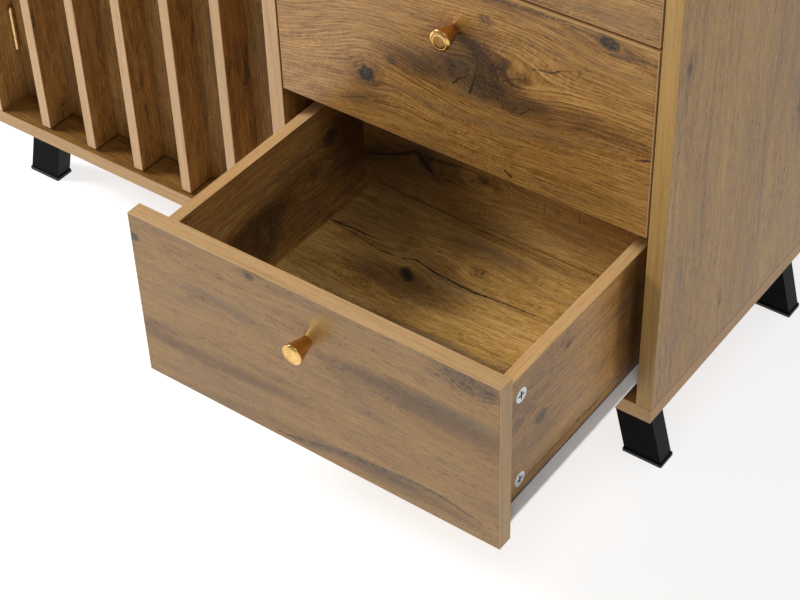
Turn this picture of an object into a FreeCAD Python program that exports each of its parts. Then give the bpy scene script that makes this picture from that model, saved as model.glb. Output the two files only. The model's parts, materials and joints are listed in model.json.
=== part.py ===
import FreeCAD, Part
import os
from FreeCAD import Vector as V

# Floor-standing dresser: one slatted door, three inset drawers on roller runners, splayed steel legs.
# Frame: +Z up, -Y is the front, +X is to the viewer's right. The origin is on the floor, in the middle
# of the object's box with the lowest drawer pulled out as it rests. All lengths are in millimetres.

# ---- driving dimensions -------------------------------------------------------------------------
T = 16.0                 # carcase board, door panel and drawer front
BAY_W = 392.0            # clear width of each bay
WIDTH = 3 * T + 2 * BAY_W
BOARD_D = 347.0          # depth of the carcase boards
BACK_T = 3.0             # back panel and drawer bottoms
DEPTH = BOARD_D + BACK_T
LEG_H = 90.0             # floor to the underside of the bottom board

FRONT_H = 185.0          # drawer front
FRONT_GAP_V = 4.0        # gap above and below each drawer front
FRONT_GAP_H = 2.0        # gap at each end of a drawer front
INNER_H = 3 * FRONT_H + 4 * FRONT_GAP_V
CARCASE_H = INNER_H + 2 * T

BOX_GAP = 13.0           # gap between the drawer box and the bay wall, for the runners
SIDE_T = 12.0            # drawer sides, drawer backs and door slats
BOX_L = 300.0            # drawer box behind the front
SIDE_LOW = 8.0           # lower edge of the box above the front's lower edge
SIDE_TOP = 160.0         # upper edge of the box above the front's lower edge
BOTTOM_UP = 22.0         # underside of the drawer bottom above the front's lower edge
DRAWER_OPEN = 216.0      # how far the lowest drawer rests open
DRAWER_TRAVEL = 220.0    # how far a drawer opens

KNOB_L = 22.0
KNOB_R_BASE = 5.4
KNOB_R_FACE = 10.2
KNOB_UP = 135.5          # knob axis above the front's lower edge

DOOR_GAP = 3.0
SLAT_N = 5
SLAT_T = 12.0
SLAT_Y0 = 4.0            # slats' front edge behind the carcase front
SLAT_Y1 = 38.0           # front face of the door panel
HINGE_TURN_Y = 34.6      # hinge axis behind the carcase front
HINGE_R = 3.0
HINGE_PIN_R = 1.5
HINGE_H = 50.0

CAM_R = 7.4
CAM_HOLE_R = 7.5

ROLLER_REAR_R = 6.5
ROLLER_FRONT_R = 7.5
AXLE_R = 2.0
ROLLER_BORE_R = 2.06
STEEL = 1.2              # runner sheet

LEG_X = 40.0             # leg tube, level section
LEG_Y = 20.0
LEG_WALL = 1.5
LEG_IN_X = 26.0          # leg's outer face in from the carcase side, at the top
LEG_IN_Y = 36.0          # leg's front face behind the carcase front
LEG_SPLAY = 23.0         # how far the foot stands out from the top of the leg
PLATE_T = 3.0
CAP_T = 3.5
CAP_LIP = 1.6

# ---- derived positions --------------------------------------------------------------------------
XR = WIDTH / 2                                  # outer face of the right side panel
XL = -WIDTH / 2
YF = -(DEPTH - (DRAWER_OPEN + KNOB_L)) / 2      # plane of the carcase front
YB = YF + BOARD_D                               # rear edge of the boards
Z0 = LEG_H                                      # underside of the bottom board
Z1 = Z0 + T                                     # floor of the bays
Z2 = Z1 + INNER_H                               # underside of the top board
Z3 = Z2 + T                                     # top of the dresser
DRW_X1 = XR - T                                 # drawer bay
DRW_X0 = DRW_X1 - BAY_W
DOOR_X1 = DRW_X0 - T                            # door bay
DOOR_X0 = DOOR_X1 - BAY_W
DRW_XC = (DRW_X0 + DRW_X1) / 2
FRONT_W = BAY_W - 2 * FRONT_GAP_H
BOX_W = BAY_W - 2 * BOX_GAP


def box(x0, x1, y0, y1, z0, z1):
    return Part.makeBox(x1 - x0, y1 - y0, z1 - z0, V(x0, y0, z0))


def cyl(r, p, d, h):
    return Part.makeCylinder(r, h, V(*p), V(*d))


def cone(r1, r2, p, d, h):
    return Part.makeCone(r1, r2, h, V(*p), V(*d))


def group(shapes):
    return Part.makeCompound(shapes)


def cut(shape, tools):
    return shape.cut(group(tools)) if tools else shape


def wood_screw(p, d, head_r, head_t, shank_r, length):
    """A countersunk screw: its head's face is at p, flush, and it goes in along d."""
    n = V(*d)
    f = V(*p)
    s = Part.makeCone(head_r, shank_r, head_t, f, n)
    s = s.fuse(Part.makeCylinder(shank_r, length - head_t, f + n * head_t, n))
    s = s.fuse(Part.makeCone(shank_r, 0.3, 2.0, f + n * length, n))
    a = V(0, 0, 1) if abs(n.z) < 0.5 else V(1, 0, 0)
    for u in (a, n.cross(a)):
        w = n.cross(u)
        m = FreeCAD.Matrix(u.x, w.x, n.x, 0, u.y, w.y, n.y, 0, u.z, w.z, n.z, 0, 0, 0, 0, 1)
        slot = Part.makeBox(head_r * 1.1, 0.6, 1.0).transformGeometry(m)
        slot.translate(f - u * (head_r * 0.55) - w * 0.3 - n * 0.4)
        s = s.cut(slot)
    return s.removeSplitter()


def prism_y(pts, y0, y1):
    ring = [V(x, y0, z) for x, z in pts]
    face = Part.Face(Part.makePolygon(ring + [ring[0]]))
    return face.extrude(V(0, y1 - y0, 0))


def prism_x(pts, x0, x1):
    ring = [V(x0, y, z) for y, z in pts]
    face = Part.Face(Part.makePolygon(ring + [ring[0]]))
    return face.extrude(V(x1 - x0, 0, 0))


nodes = {}


def add(name, shape):
    nodes[name] = shape


# ---- cam fitting: a round cam lying in a face, and the bolt it pulls -----------------------------
def cam_fitting(face, into, toward, depth, axis_in, reach, thread):
    """face: point on the board's face at the cam's centre. into: unit vector into the board.
    toward: unit vector from the cam to the joint. reach: distance from the cam's centre to the joint.
    thread: how deep the bolt goes into the other board. Returns pieces, holes here, holes there."""
    f, n, t = V(*face), V(*into), V(*toward)
    centre = f + n * axis_in
    cam = Part.makeCylinder(CAM_R, depth, f + n * 0.15, n)
    side = n.cross(t)
    for u, w in ((t, side), (side, t)):
        slot = Part.makeBox(9.0, 2.0, 2.6)
        m = FreeCAD.Matrix(u.x, w.x, n.x, 0, u.y, w.y, n.y, 0, u.z, w.z, n.z, 0, 0, 0, 0, 1)
        slot = slot.transformGeometry(m)
        slot.translate(f - u * 4.5 - w * 1.0)
        cam = cam.cut(slot)
    cam = cam.cut(Part.makeCylinder(3.5, CAM_R + 3.6, centre - t * 3.6, t))
    bolt = Part.makeCylinder(3.2, 3.0, centre - t * 2.0, t)
    bolt = bolt.fuse(Part.makeCylinder(2.0, reach - 1.0, centre + t * 1.0, t))
    bolt = bolt.fuse(Part.makeCylinder(2.5, thread, centre + t * reach, t))
    here = [Part.makeCylinder(CAM_HOLE_R, depth + 1.0, f - n * 0.5, n),
            Part.makeCylinder(4.0, reach + 0.5, centre, t)]
    there = [Part.makeCylinder(2.55, thread + 0.4, centre + t * reach, t)]
    return [cam, bolt.removeSplitter()], here, there


# ---- carcase ------------------------------------------------------------------------------------
VERTICALS = {
    # name: x0, x1, side that the cams lie in
    "side_panel_left": (XL, XL + T, 1),
    "divider": (DRW_X0 - T, DRW_X0, -1),
    "side_panel_right": (XR - T, XR, -1),
}
holes = {"top_board": [], "bottom_board": [], "side_panel_left": [], "divider": [], "side_panel_right": []}
carcase_fittings, carcase_dowels = [], []
CAM_END = 34.0
for name, (x0, x1, s) in VERTICALS.items():
    xf = x1 if s > 0 else x0
    xc = (x0 + x1) / 2
    for y in (YF + 50.0, YB - 50.0):
        for board, zj, tz in (("bottom_board", Z1, -1), ("top_board", Z2, 1)):
            zc = zj - tz * CAM_END
            p, here, there = cam_fitting((xf, y, zc), (-s, 0, 0), (0, 0, tz), 12.5, T / 2, CAM_END, 11.0)
            carcase_fittings += p
            holes[name] += here
            holes[board] += there
    for y in (YF + 82.0, YB - 82.0):
        for board, zj, tz in (("bottom_board", Z1, -1), ("top_board", Z2, 1)):
            carcase_dowels.append(cyl(3.95, (xc, y, zj - tz * 19.0), (0, 0, tz), 30.0))
            holes[name].append(cyl(4.0, (xc, y, zj - tz * 19.5), (0, 0, tz), 19.5))
            holes[board].append(cyl(4.0, (xc, y, zj), (0, 0, tz), 11.5))

# ---- legs ---------------------------------------------------------------------------------------
caps, leg_screws = [], []
for xs, xn in ((-1, "left"), (1, "right")):
    for ys, yn in ((-1, "front"), (1, "rear")):
        # worked out for the right side, mirrored for the left
        xt1 = XR - LEG_IN_X
        xt0 = xt1 - LEG_X
        if ys < 0:
            ya = YF + LEG_IN_Y
        else:
            ya = YF + DEPTH - LEG_IN_Y - LEG_Y
        yb = ya + LEG_Y
        k = LEG_SPLAY / LEG_H

        def sec(z, inset):
            sh = (LEG_H - z) * k
            return xt0 + sh + inset, xt1 + sh - inset
        zt, zb = LEG_H - PLATE_T, CAP_T
        a0, a1 = sec(zt, 0)
        b0, b1 = sec(zb, 0)
        tube = prism_y([(b0, zb), (b1, zb), (a1, zt), (a0, zt)], ya, yb)
        i0, i1 = sec(zt + 0.0, LEG_WALL)
        j0, j1 = sec(zb - 1.0, LEG_WALL)
        tube = tube.cut(prism_y([(j0, zb - 1.0), (j1, zb - 1.0), (i1, zt), (i0, zt)], ya + LEG_WALL, yb - LEG_WALL))
        pxc, pyc = (xt0 + xt1) / 2, (ya + yb) / 2
        plate = box(pxc - 40, pxc + 40, pyc - 30, pyc + 30, zt, LEG_H)
        plate = plate.makeFillet(6.0, [e for e in plate.Edges
                                       if abs(e.Vertexes[0].Z - e.Vertexes[1].Z) > 1.0])
        screws = []
        for dx in (-31.0, 31.0):
            for dy in (-21.0, 21.0):
                plate = plate.cut(cyl(2.4, (pxc + dx, pyc + dy, zt - 1), (0, 0, 1), PLATE_T + 2))
                head = cyl(4.0, (pxc + dx, pyc + dy, zt - 2.2), (0, 0, 1), 2.2)
                head = head.makeFillet(1.2, [e for e in head.Edges if e.Curve.TypeId == "Part::GeomCircle"
                                             and e.CenterOfMass.z < zt - 1.5])
                cross = box(pxc + dx - 2.2, pxc + dx + 2.2, pyc + dy - 0.5, pyc + dy + 0.5, zt - 3, zt - 1.2)
                cross = cross.fuse(box(pxc + dx - 0.5, pxc + dx + 0.5, pyc + dy - 2.2, pyc + dy + 2.2, zt - 3, zt - 1.2))
                screw = head.cut(cross).fuse(cyl(2.0, (pxc + dx, pyc + dy, zt), (0, 0, 1), 15.0))
                screws.append(screw)
                hole = cyl(2.05, (pxc + dx, pyc + dy, LEG_H - 0.5), (0, 0, 1), 13.0)
                if xs < 0:
                    hole = hole.mirror(V(0, 0, 0), V(1, 0, 0))
                holes["bottom_board"].append(hole)
        leg = tube.fuse(plate).removeSplitter()
        f0, f1 = sec(CAP_T, -CAP_LIP)
        flange = box(f0, f1, ya - CAP_LIP, yb + CAP_LIP, 0, CAP_T)
        flange = flange.makeFillet(2.0, [e for e in flange.Edges
                                         if abs(e.Vertexes[0].Z - e.Vertexes[1].Z) > 1.0])
        g0, g1 = sec(CAP_T, LEG_WALL + 0.1)
        h0, h1 = sec(17.0, LEG_WALL + 0.1)
        plug = prism_y([(g0, CAP_T), (g1, CAP_T), (h1, 17.0), (h0, 17.0)], ya + LEG_WALL + 0.1, yb - LEG_WALL - 0.1)
        cap = flange.fuse(plug).removeSplitter()
        if xs < 0:
            leg = leg.mirror(V(0, 0, 0), V(1, 0, 0))
            cap = cap.mirror(V(0, 0, 0), V(1, 0, 0))
            screws = [s.mirror(V(0, 0, 0), V(1, 0, 0)) for s in screws]
        add("leg_%s_%s" % (yn, xn), leg)
        caps.append(cap)
        leg_screws += screws
add("foot_caps", group(caps))
add("leg_screws", group(leg_screws))

# ---- shelf in the door bay ----------------------------------------------------------------------
SHELF_Z = Z1 + 284.0
SHELF_Y0 = YF + 62.0
add("shelf", box(DOOR_X0 + 0.5, DOOR_X1 - 0.5, SHELF_Y0, YB - 2.0, SHELF_Z, SHELF_Z + T))
pins = []
for y in (SHELF_Y0 + 35.0, YB - 45.0):
    for xw, d, board in ((DOOR_X0, 1, "side_panel_left"), (DOOR_X1, -1, "divider")):
        pin = cyl(2.5, (xw - d * 8.0, y, SHELF_Z - 2.5), (d, 0, 0), 17.0)
        pin = pin.fuse(cyl(4.0, (xw, y, SHELF_Z - 4.7), (d, 0, 0), 1.4))
        pins.append(pin)
        holes[board].append(cyl(2.55, (xw - d * 8.3, y, SHELF_Z - 2.5), (d, 0, 0), 8.4))
add("shelf_pins", group(pins))

# ---- door, hinged at the left -------------------------------------------------------------------
DX0, DX1 = DOOR_X0 + DOOR_GAP, DOOR_X1 - DOOR_GAP
DZ0, DZ1 = Z1 + DOOR_GAP, Z2 - DOOR_GAP
PY0, PY1 = YF + SLAT_Y1, YF + SLAT_Y1 + T
SLAT_SPACE = ((DX1 - DX0) - SLAT_N * SLAT_T) / (SLAT_N + 1)
slats, door_screws, fitting_screws, panel_holes = [], [], [], []
for i in range(SLAT_N):
    sx0 = DX0 + SLAT_SPACE + i * (SLAT_T + SLAT_SPACE)
    slat = box(sx0, sx0 + SLAT_T, YF + SLAT_Y0, PY0, DZ0, DZ1)
    xc = sx0 + SLAT_T / 2
    for z in (DZ0 + 45.0, (DZ0 + DZ1) / 2, DZ1 - 45.0):
        screw = cyl(1.6, (xc, PY1 - 32.0, z), (0, 1, 0), 30.5)
        screw = screw.fuse(cone(1.6, 3.4, (xc, PY1 - 2.2, z), (0, 1, 0), 1.8))
        for a, b in ((2.0, 0.4), (0.4, 2.0)):
            screw = screw.cut(box(xc - a, xc + a, PY1 - 1.4, PY1, z - b, z + b))
        door_screws.append(screw)
        slat = slat.cut(cyl(1.65, (xc, PY1 - 32.4, z), (0, 1, 0), 17.0))
        panel_holes.append(cyl(1.7, (xc, PY0 - 0.5, z), (0, 1, 0), T + 1))
        panel_holes.append(cone(1.7, 4.0, (xc, PY1 - 2.5, z), (0, 1, 0), 2.51))
    slats.append(slat)
add("door_slats", group(slats))

HX, HY = DX0 + 0.2, YF + HINGE_TURN_Y
door_leaves, frame_leaves, hinge_pins = [], [], []
for zc in (Z1 + 90.0, Z2 - 90.0):
    za, zb = zc - HINGE_H / 2, zc + HINGE_H / 2
    cuts_z = [za, za + 16.5, zb - 16.5, zb]
    # frame leaf: outer two knuckles, against the side panel
    fl = box(DOOR_X0, DOOR_X0 + 1.2, HY, HY + 26.0, za, zb)
    fl = fl.cut(cyl(HINGE_R + 0.35, (HX, HY, cuts_z[1]), (0, 0, 1), cuts_z[2] - cuts_z[1]))
    for q0, q1 in ((cuts_z[0], cuts_z[1]), (cuts_z[2], cuts_z[3])):
        fl = fl.fuse(cyl(HINGE_R, (HX, HY, q0), (0, 0, 1), q1 - q0))
    fl = fl.cut(cyl(HINGE_PIN_R + 0.02, (HX, HY, za - 1), (0, 0, 1), HINGE_H + 2))
    for z in (za + 9.0, zb - 9.0):
        fl = fl.cut(cone(3.3, 1.5, (DOOR_X0 + 1.25, HY + 18.0, z), (-1, 0, 0), 1.35))
        fitting_screws.append(wood_screw((DOOR_X0 + 1.2, HY + 18.0, z), (-1, 0, 0), 3.1, 1.2, 1.35, 11.0))
        holes["side_panel_left"].append(cyl(1.4, (DOOR_X0 + 0.5, HY + 18.0, z), (-1, 0, 0), 13.0))
    frame_leaves.append(fl.removeSplitter())
    # door leaf: middle knuckle, against the door's edge
    dl = box(DX0 - 1.2, DX0, HY, PY1 - 0.5, za, zb)
    for q0, q1 in ((cuts_z[0] - 0.1, cuts_z[1] + 0.2), (cuts_z[2] - 0.2, cuts_z[3] + 0.1)):
        dl = dl.cut(cyl(HINGE_R + 0.35, (HX, HY, q0), (0, 0, 1), q1 - q0))
    dl = dl.fuse(cyl(HINGE_R, (HX, HY, cuts_z[1] + 0.2), (0, 0, 1), cuts_z[2] - cuts_z[1] - 0.4))
    dl = dl.cut(cyl(HINGE_PIN_R + 0.05, (HX, HY, za - 1), (0, 0, 1), HINGE_H + 2))
    for z in (za + 9.0, zb - 9.0):
        dl = dl.cut(cone(3.3, 1.5, (DX0 - 1.25, HY + 12.0, z), (1, 0, 0), 1.35))
        door_screws.append(wood_screw((DX0 - 1.2, HY + 12.0, z), (1, 0, 0), 3.1, 1.2, 1.35, 17.0))
        panel_holes.append(cyl(1.4, (DX0 - 0.5, HY + 12.0, z), (1, 0, 0), 19.0))
    door_leaves.append(dl.removeSplitter())
    pin = cyl(HINGE_PIN_R, (HX, HY, za - 0.8), (0, 0, 1), HINGE_H + 1.6)
    for ze, d in ((za - 0.1, -1), (zb + 0.1, 1)):
        pin = pin.fuse(cone(HINGE_R - 0.4, 1.4, (HX, HY, ze), (0, 0, d), 1.6))
    hinge_pins.append(pin)
add("hinge_door_leaves", group(door_leaves))
add("hinge_frame_leaves", group(frame_leaves))
add("hinge_pins", group(hinge_pins))

# magnetic catch under the top board, strike plate on the door
CX = DX1 - 40.0
catch = box(CX - 23, CX + 23, PY1 + 1.4, PY1 + 16.0, Z2 - 13.0, Z2)
catch = catch.makeFillet(1.0, [e for e in catch.Edges if e.CenterOfMass.z < Z2 - 12.0])
for x in (CX - 9.0, CX + 9.0):
    catch = catch.cut(cyl(3.2, (x, PY1 + 10.5, Z2 - 14), (0, 0, 1), 2.0))
    catch = catch.cut(cone(3.2, 1.5, (x, PY1 + 10.5, Z2 - 12.05), (0, 0, 1), 2.0))
    catch = catch.cut(cyl(1.5, (x, PY1 + 10.5, Z2 - 11), (0, 0, 1), 12.0))
    fitting_screws.append(wood_screw((x, PY1 + 10.5, Z2 - 12.0), (0, 0, 1), 3.0, 1.8, 1.35, 20.0))
    holes["top_board"].append(cyl(1.4, (x, PY1 + 10.5, Z2 - 0.5), (0, 0, 1), 11.5))
for z in (Z2 - 9.5, Z2 - 4.0):
    catch = catch.cut(box(CX - 18, CX + 18, PY1 + 1.0, PY1 + 1.9, z - 0.6, z + 0.6))
add("magnetic_catch", catch)
strike = box(CX - 19, CX + 19, PY1, PY1 + 1.2, DZ1 - 15.0, DZ1 - 1.0)
strike = strike.makeFillet(3.0, [e for e in strike.Edges if abs(e.Vertexes[0].Y - e.Vertexes[1].Y) > 0.5])
for x in (CX - 11.0, CX + 11.0):
    strike = strike.cut(cone(3.0, 1.4, (x, PY1 + 1.25, DZ1 - 8.0), (0, -1, 0), 1.35))
    door_screws.append(wood_screw((x, PY1 + 1.2, DZ1 - 8.0), (0, -1, 0), 2.8, 1.2, 1.25, 12.0))
    panel_holes.append(cyl(1.3, (x, PY1 + 0.5, DZ1 - 8.0), (0, -1, 0), 15.0))
add("strike_plate", strike)
add("door_panel", cut(box(DX0, DX1, PY0, PY1, DZ0, DZ1), panel_holes))
add("door_screws", group(door_screws))
add("fitting_screws", group(fitting_screws))

# ---- drawers ------------------------------------------------------------------------------------
BX1 = DRW_XC + BOX_W / 2        # outer faces of the drawer box
BX0 = DRW_XC - BOX_W / 2
GROOVE = 6.0
FRONT_GROOVE = 8.0
CAM_BACK = 30.0
Y_SIDE0, Y_SIDE1 = YF + T, YF + T + BOX_L - SIDE_T
Y_BACK1 = YF + T + BOX_L
REAR_ROLLER_Y = YF + 304.0
FRONT_ROLLER_Y = YF + 30.0


def both_sides(make):
    """Make a piece for the right-hand side of the drawer bay and its mirror image for the left."""
    r = make()
    l = r.mirror(V(DRW_XC, 0, 0), V(1, 0, 0))
    return [r, l]


cabinet_runners, runner_screws = [], []
NAMES = ("lower", "middle", "upper")
for i, nm in enumerate(NAMES):
    zb = Z1 + FRONT_GAP_V + i * (FRONT_H + FRONT_GAP_V)    # lower edge of this front
    dy = -DRAWER_OPEN if i == 0 else 0.0                   # the lowest drawer rests open
    sz0, sz1 = zb + SIDE_LOW, zb + SIDE_TOP
    bz0, bz1 = zb + BOTTOM_UP, zb + BOTTOM_UP + BACK_T
    front_holes, side_holes_r, back_holes, fittings = [], [], [], []
    for zc in (zb + 137.0, zb + 39.0):
        p, here, there = cam_fitting((BX1, Y_SIDE0 + CAM_BACK, zc), (-1, 0, 0), (0, -1, 0), 9.8, SIDE_T / 2, CAM_BACK, 11.0)
        fittings += p
        side_holes_r += here
        front_holes += there
        p, here, there = cam_fitting((BX1, Y_SIDE1 - CAM_BACK, zc), (-1, 0, 0), (0, 1, 0), 9.8, SIDE_T / 2, CAM_BACK, 9.0)
        fittings += p
        side_holes_r += here
        back_holes += there
    mir = lambda s: s.mirror(V(DRW_XC, 0, 0), V(1, 0, 0))
    front_holes += [mir(h) for h in front_holes]
    back_holes += [mir(h) for h in back_holes]
    side_holes_l = [mir(h) for h in side_holes_r]
    fittings += [mir(f) for f in fittings]

    kz = zb + KNOB_UP
    front = box(DRW_XC - FRONT_W / 2, DRW_XC + FRONT_W / 2, YF, YF + T, zb, zb + FRONT_H)
    front_holes.append(cyl(2.3, (DRW_XC, YF - 1, kz), (0, 1, 0), T + 2))
    front_holes.append(box(BX0 + SIDE_T - GROOVE, BX1 - SIDE_T + GROOVE, YF + T - FRONT_GROOVE, YF + T + 1, bz0 - 0.1, bz1 + 0.1))
    front = cut(front, front_holes)

    side_r = box(BX1 - SIDE_T, BX1, Y_SIDE0, Y_SIDE1, sz0, sz1)
    side_r = cut(side_r, side_holes_r + [box(BX1 - SIDE_T - 1, BX1 - SIDE_T + GROOVE, Y_SIDE0 - 1, Y_SIDE1 + 1, bz0 - 0.1, bz1 + 0.1)])
    side_l = box(BX0, BX0 + SIDE_T, Y_SIDE0, Y_SIDE1, sz0, sz1)
    side_l = cut(side_l, side_holes_l + [box(BX0 + SIDE_T - GROOVE, BX0 + SIDE_T + 1, Y_SIDE0 - 1, Y_SIDE1 + 1, bz0 - 0.1, bz1 + 0.1)])
    back = box(BX0, BX1, Y_SIDE1, Y_BACK1, sz0, sz1)
    back = cut(back, back_holes + [box(BX0 + SIDE_T - GROOVE, BX1 - SIDE_T + GROOVE, Y_SIDE1 - 1, Y_SIDE1 + GROOVE, bz0 - 0.1, bz1 + 0.1)])
    bottom = box(BX0 + SIDE_T - GROOVE + 0.5, BX1 - SIDE_T + GROOVE - 0.5, YF + T - FRONT_GROOVE + 0.5, Y_SIDE1 + GROOVE - 0.5, bz0, bz1)

    # knob: a cone that widens to a flat face with a turned bevel
    prof = [V(0, 0, 0), V(KNOB_R_BASE, 0, 0), V(KNOB_R_BASE + 0.1, -0.6, 0), V(KNOB_R_FACE, -KNOB_L + 1.4, 0),
            V(KNOB_R_FACE - 0.35, -KNOB_L + 0.8, 0), V(KNOB_R_FACE - 1.7, -KNOB_L, 0), V(0, -KNOB_L, 0)]
    wire = Part.makePolygon(prof + [prof[0]])
    knob = Part.Face(wire).revolve(V(0, 0, 0), V(0, 1, 0), 360)
    knob.translate(V(DRW_XC, YF, kz))
    knob = knob.cut(cyl(2.05, (DRW_XC, YF + 1, kz), (0, -1, 0), 13.0))
    screw = cyl(2.0, (DRW_XC, YF + T, kz), (0, -1, 0), T + 11.0)
    head = cyl(4.1, (DRW_XC, YF + T, kz), (0, 1, 0), 2.6)
    head = head.makeFillet(1.3, [e for e in head.Edges if e.Curve.TypeId == "Part::GeomCircle" and e.CenterOfMass.y > YF + T + 2])
    for a, b in ((2.2, 0.5), (0.5, 2.2)):
        head = head.cut(box(DRW_XC - a, DRW_XC + a, YF + T + 1.2, YF + T + 4, kz - b, kz + b))
    screw = screw.fuse(head)

    # runner pieces, drawn for the right side: u is the distance outward from the drawer box
    zt = zb + 21.0                                   # top of the drawer member
    def u(a):
        return BX1 + a

    def drawer_member():
        s = box(u(0), u(STEEL), YF + T + 0.5, Y_BACK1, sz0 - STEEL, zt)
        s = s.fuse(box(u(-10), u(STEEL), YF + T + 0.5, Y_BACK1, sz0 - STEEL, sz0))
        s = s.fuse(box(u(0), u(10.6), YF + T + 0.5, Y_BACK1, zt - STEEL, zt))
        s = s.fuse(box(u(9.4), u(10.6), YF + T + 0.5, Y_BACK1, zt - 2.6, zt))
        s = s.removeSplitter()
        edge = [e for e in s.Edges if abs(e.Vertexes[0].Y - e.Vertexes[-1].Y) > 200 and
                abs(e.CenterOfMass.x - u(10.6)) < 0.01 and abs(e.CenterOfMass.z - zt) < 0.01]
        s = s.makeFillet(0.9, edge)
        az = zb + 9.5
        s = s.fuse(cyl(AXLE_R, (u(STEEL) - 0.2, REAR_ROLLER_Y, az), (1, 0, 0), 7.6))
        s = s.fuse(cyl(3.2, (u(8.5), REAR_ROLLER_Y, az), (1, 0, 0), 0.7))
        return s.removeSplitter()

    def rear_roller():
        az = zb + 9.5
        s = cyl(ROLLER_REAR_R, (u(2.2), REAR_ROLLER_Y, az), (1, 0, 0), 6.0)
        s = s.makeChamfer(0.5, [e for e in s.Edges if e.Curve.TypeId == "Part::GeomCircle"])
        return s.cut(cyl(ROLLER_BORE_R, (u(1), REAR_ROLLER_Y, az), (1, 0, 0), 9.0))

    def cabinet_member():
        z0, z1 = zb + 1.6, zb + 17.6
        y0, y1 = YF + 18.0, YF + 318.0
        s = box(u(BOX_GAP - STEEL), u(BOX_GAP), y0, y1, z0, z1)
        s = s.fuse(box(u(2.4), u(BOX_GAP), y0, y1, z0, z0 + STEEL))
        s = s.fuse(box(u(4.4), u(BOX_GAP), y0 + 28.0, y1, z1 - STEEL, z1))
        s = s.fuse(box(u(2.4), u(9.4), YF + 73.0, YF + 78.0, z0, zb + 6.0))      # stop for the open drawer
        s = s.fuse(box(u(2.4), u(9.4), YF + 311.2, YF + 312.4, z0, zb + 10.0))   # stop for the shut drawer
        az = zb + 12.0
        s = s.fuse(cyl(AXLE_R, (u(2.0), FRONT_ROLLER_Y, az), (1, 0, 0), BOX_GAP - STEEL - 2.0 + 0.2))
        s = s.fuse(cyl(3.2, (u(1.5), FRONT_ROLLER_Y, az), (1, 0, 0), 0.7))
        for y in (YF + 62.0, YF + 168.0, YF + 290.0):
            s = s.cut(cyl(1.9, (u(BOX_GAP - 3), y, zb + 9.6), (1, 0, 0), 4.0))
        return s.removeSplitter()

    def front_roller():
        az = zb + 12.0
        s = cyl(ROLLER_FRONT_R, (u(2.4), FRONT_ROLLER_Y, az), (1, 0, 0), 6.5)
        s = s.makeChamfer(0.5, [e for e in s.Edges if e.Curve.TypeId == "Part::GeomCircle"])
        return s.cut(cyl(ROLLER_BORE_R, (u(1), FRONT_ROLLER_Y, az), (1, 0, 0), 10.0))

    cabinet_runners += both_sides(cabinet_member)
    for y in (YF + 62.0, YF + 168.0, YF + 290.0):
        def one():
            s = cyl(3.0, (u(BOX_GAP - STEEL), y, zb + 9.6), (-1, 0, 0), 1.5)
            s = s.makeFillet(0.8, [e for e in s.Edges if e.Curve.TypeId == "Part::GeomCircle" and e.CenterOfMass.x < u(10.5)])
            s = s.fuse(cyl(1.75, (u(BOX_GAP - STEEL), y, zb + 9.6), (1, 0, 0), 12.0))
            for a, b in ((1.7, 0.4), (0.4, 1.7)):
                s = s.cut(box(u(10.0), u(11.0), y - a, y + a, zb + 9.6 - b, zb + 9.6 + b))
            return s
        runner_screws += both_sides(one)
        holes["side_panel_right"].append(cyl(1.8, (DRW_X1 - 0.5, y, zb + 9.6), (1, 0, 0), 11.6))
        holes["divider"].append(cyl(1.8, (DRW_X0 + 0.5, y, zb + 9.6), (-1, 0, 0), 11.6))

    add("drawer_%s_front" % nm, front)
    add("drawer_%s_side_left" % nm, side_l)
    add("drawer_%s_side_right" % nm, side_r)
    add("drawer_%s_back" % nm, back)
    add("drawer_%s_bottom" % nm, bottom)
    add("drawer_%s_knob" % nm, knob)
    add("drawer_%s_knob_screw" % nm, screw)
    add("drawer_%s_cam_fittings" % nm, group(fittings))
    add("drawer_%s_runners" % nm, group(both_sides(drawer_member)))
    add("drawer_%s_rear_rollers" % nm, group(both_sides(rear_roller)))
    if dy:
        for k in list(nodes):
            if k.startswith("drawer_%s_" % nm):
                moved = nodes[k].copy()
                moved.translate(V(0, dy, 0))
                nodes[k] = moved
    add("cabinet_%s_front_rollers" % nm, group(both_sides(front_roller)))

add("cabinet_runners", group(cabinet_runners))
add("runner_screws", group(runner_screws))

# ---- carcase boards, with the holes of everything that goes into them ---------------------------
add("bottom_board", cut(box(XL, XR, YF, YB, Z0, Z1), holes["bottom_board"]))
add("top_board", cut(box(XL, XR, YF, YB, Z2, Z3), holes["top_board"]))
for name, (x0, x1, s) in VERTICALS.items():
    add(name, cut(box(x0, x1, YF, YB, Z1, Z2), holes[name]))
add("back_panel", box(XL + 1.0, XR - 1.0, YB, YB + BACK_T, Z0 + 1.0, Z3 - 1.0))
add("carcase_cam_fittings", group(carcase_fittings))
add("carcase_dowels", group(carcase_dowels))

# ---- write one file for each node ---------------------------------------------------------------
os.makedirs("parts", exist_ok=True)
total = None
for name in sorted(nodes):
    s = nodes[name]
    ok = s.isValid() and all(x.isClosed() for sol in s.Solids for x in sol.Shells)
    s.exportStep("parts/%s.step" % name)
    bb = s.BoundBox
    print("%-30s solids %2d  valid %s  x %8.2f %8.2f  y %8.2f %8.2f  z %7.2f %7.2f  vol %10.1f" %
          (name, len(s.Solids), ok, bb.XMin, bb.XMax, bb.YMin, bb.YMax, bb.ZMin, bb.ZMax, s.Volume))
    total = bb if total is None else total
    total.add(bb)
print("nodes", len(nodes), "box", total)
print("hinge axis", HX, HY, "front plane", YF, "drawer bay", DRW_X0, DRW_X1, "levels", Z0, Z1, Z2, Z3)
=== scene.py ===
import bpy
import bmesh
import json
import math
import random
import zlib
from mathutils import Matrix, Vector


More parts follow.
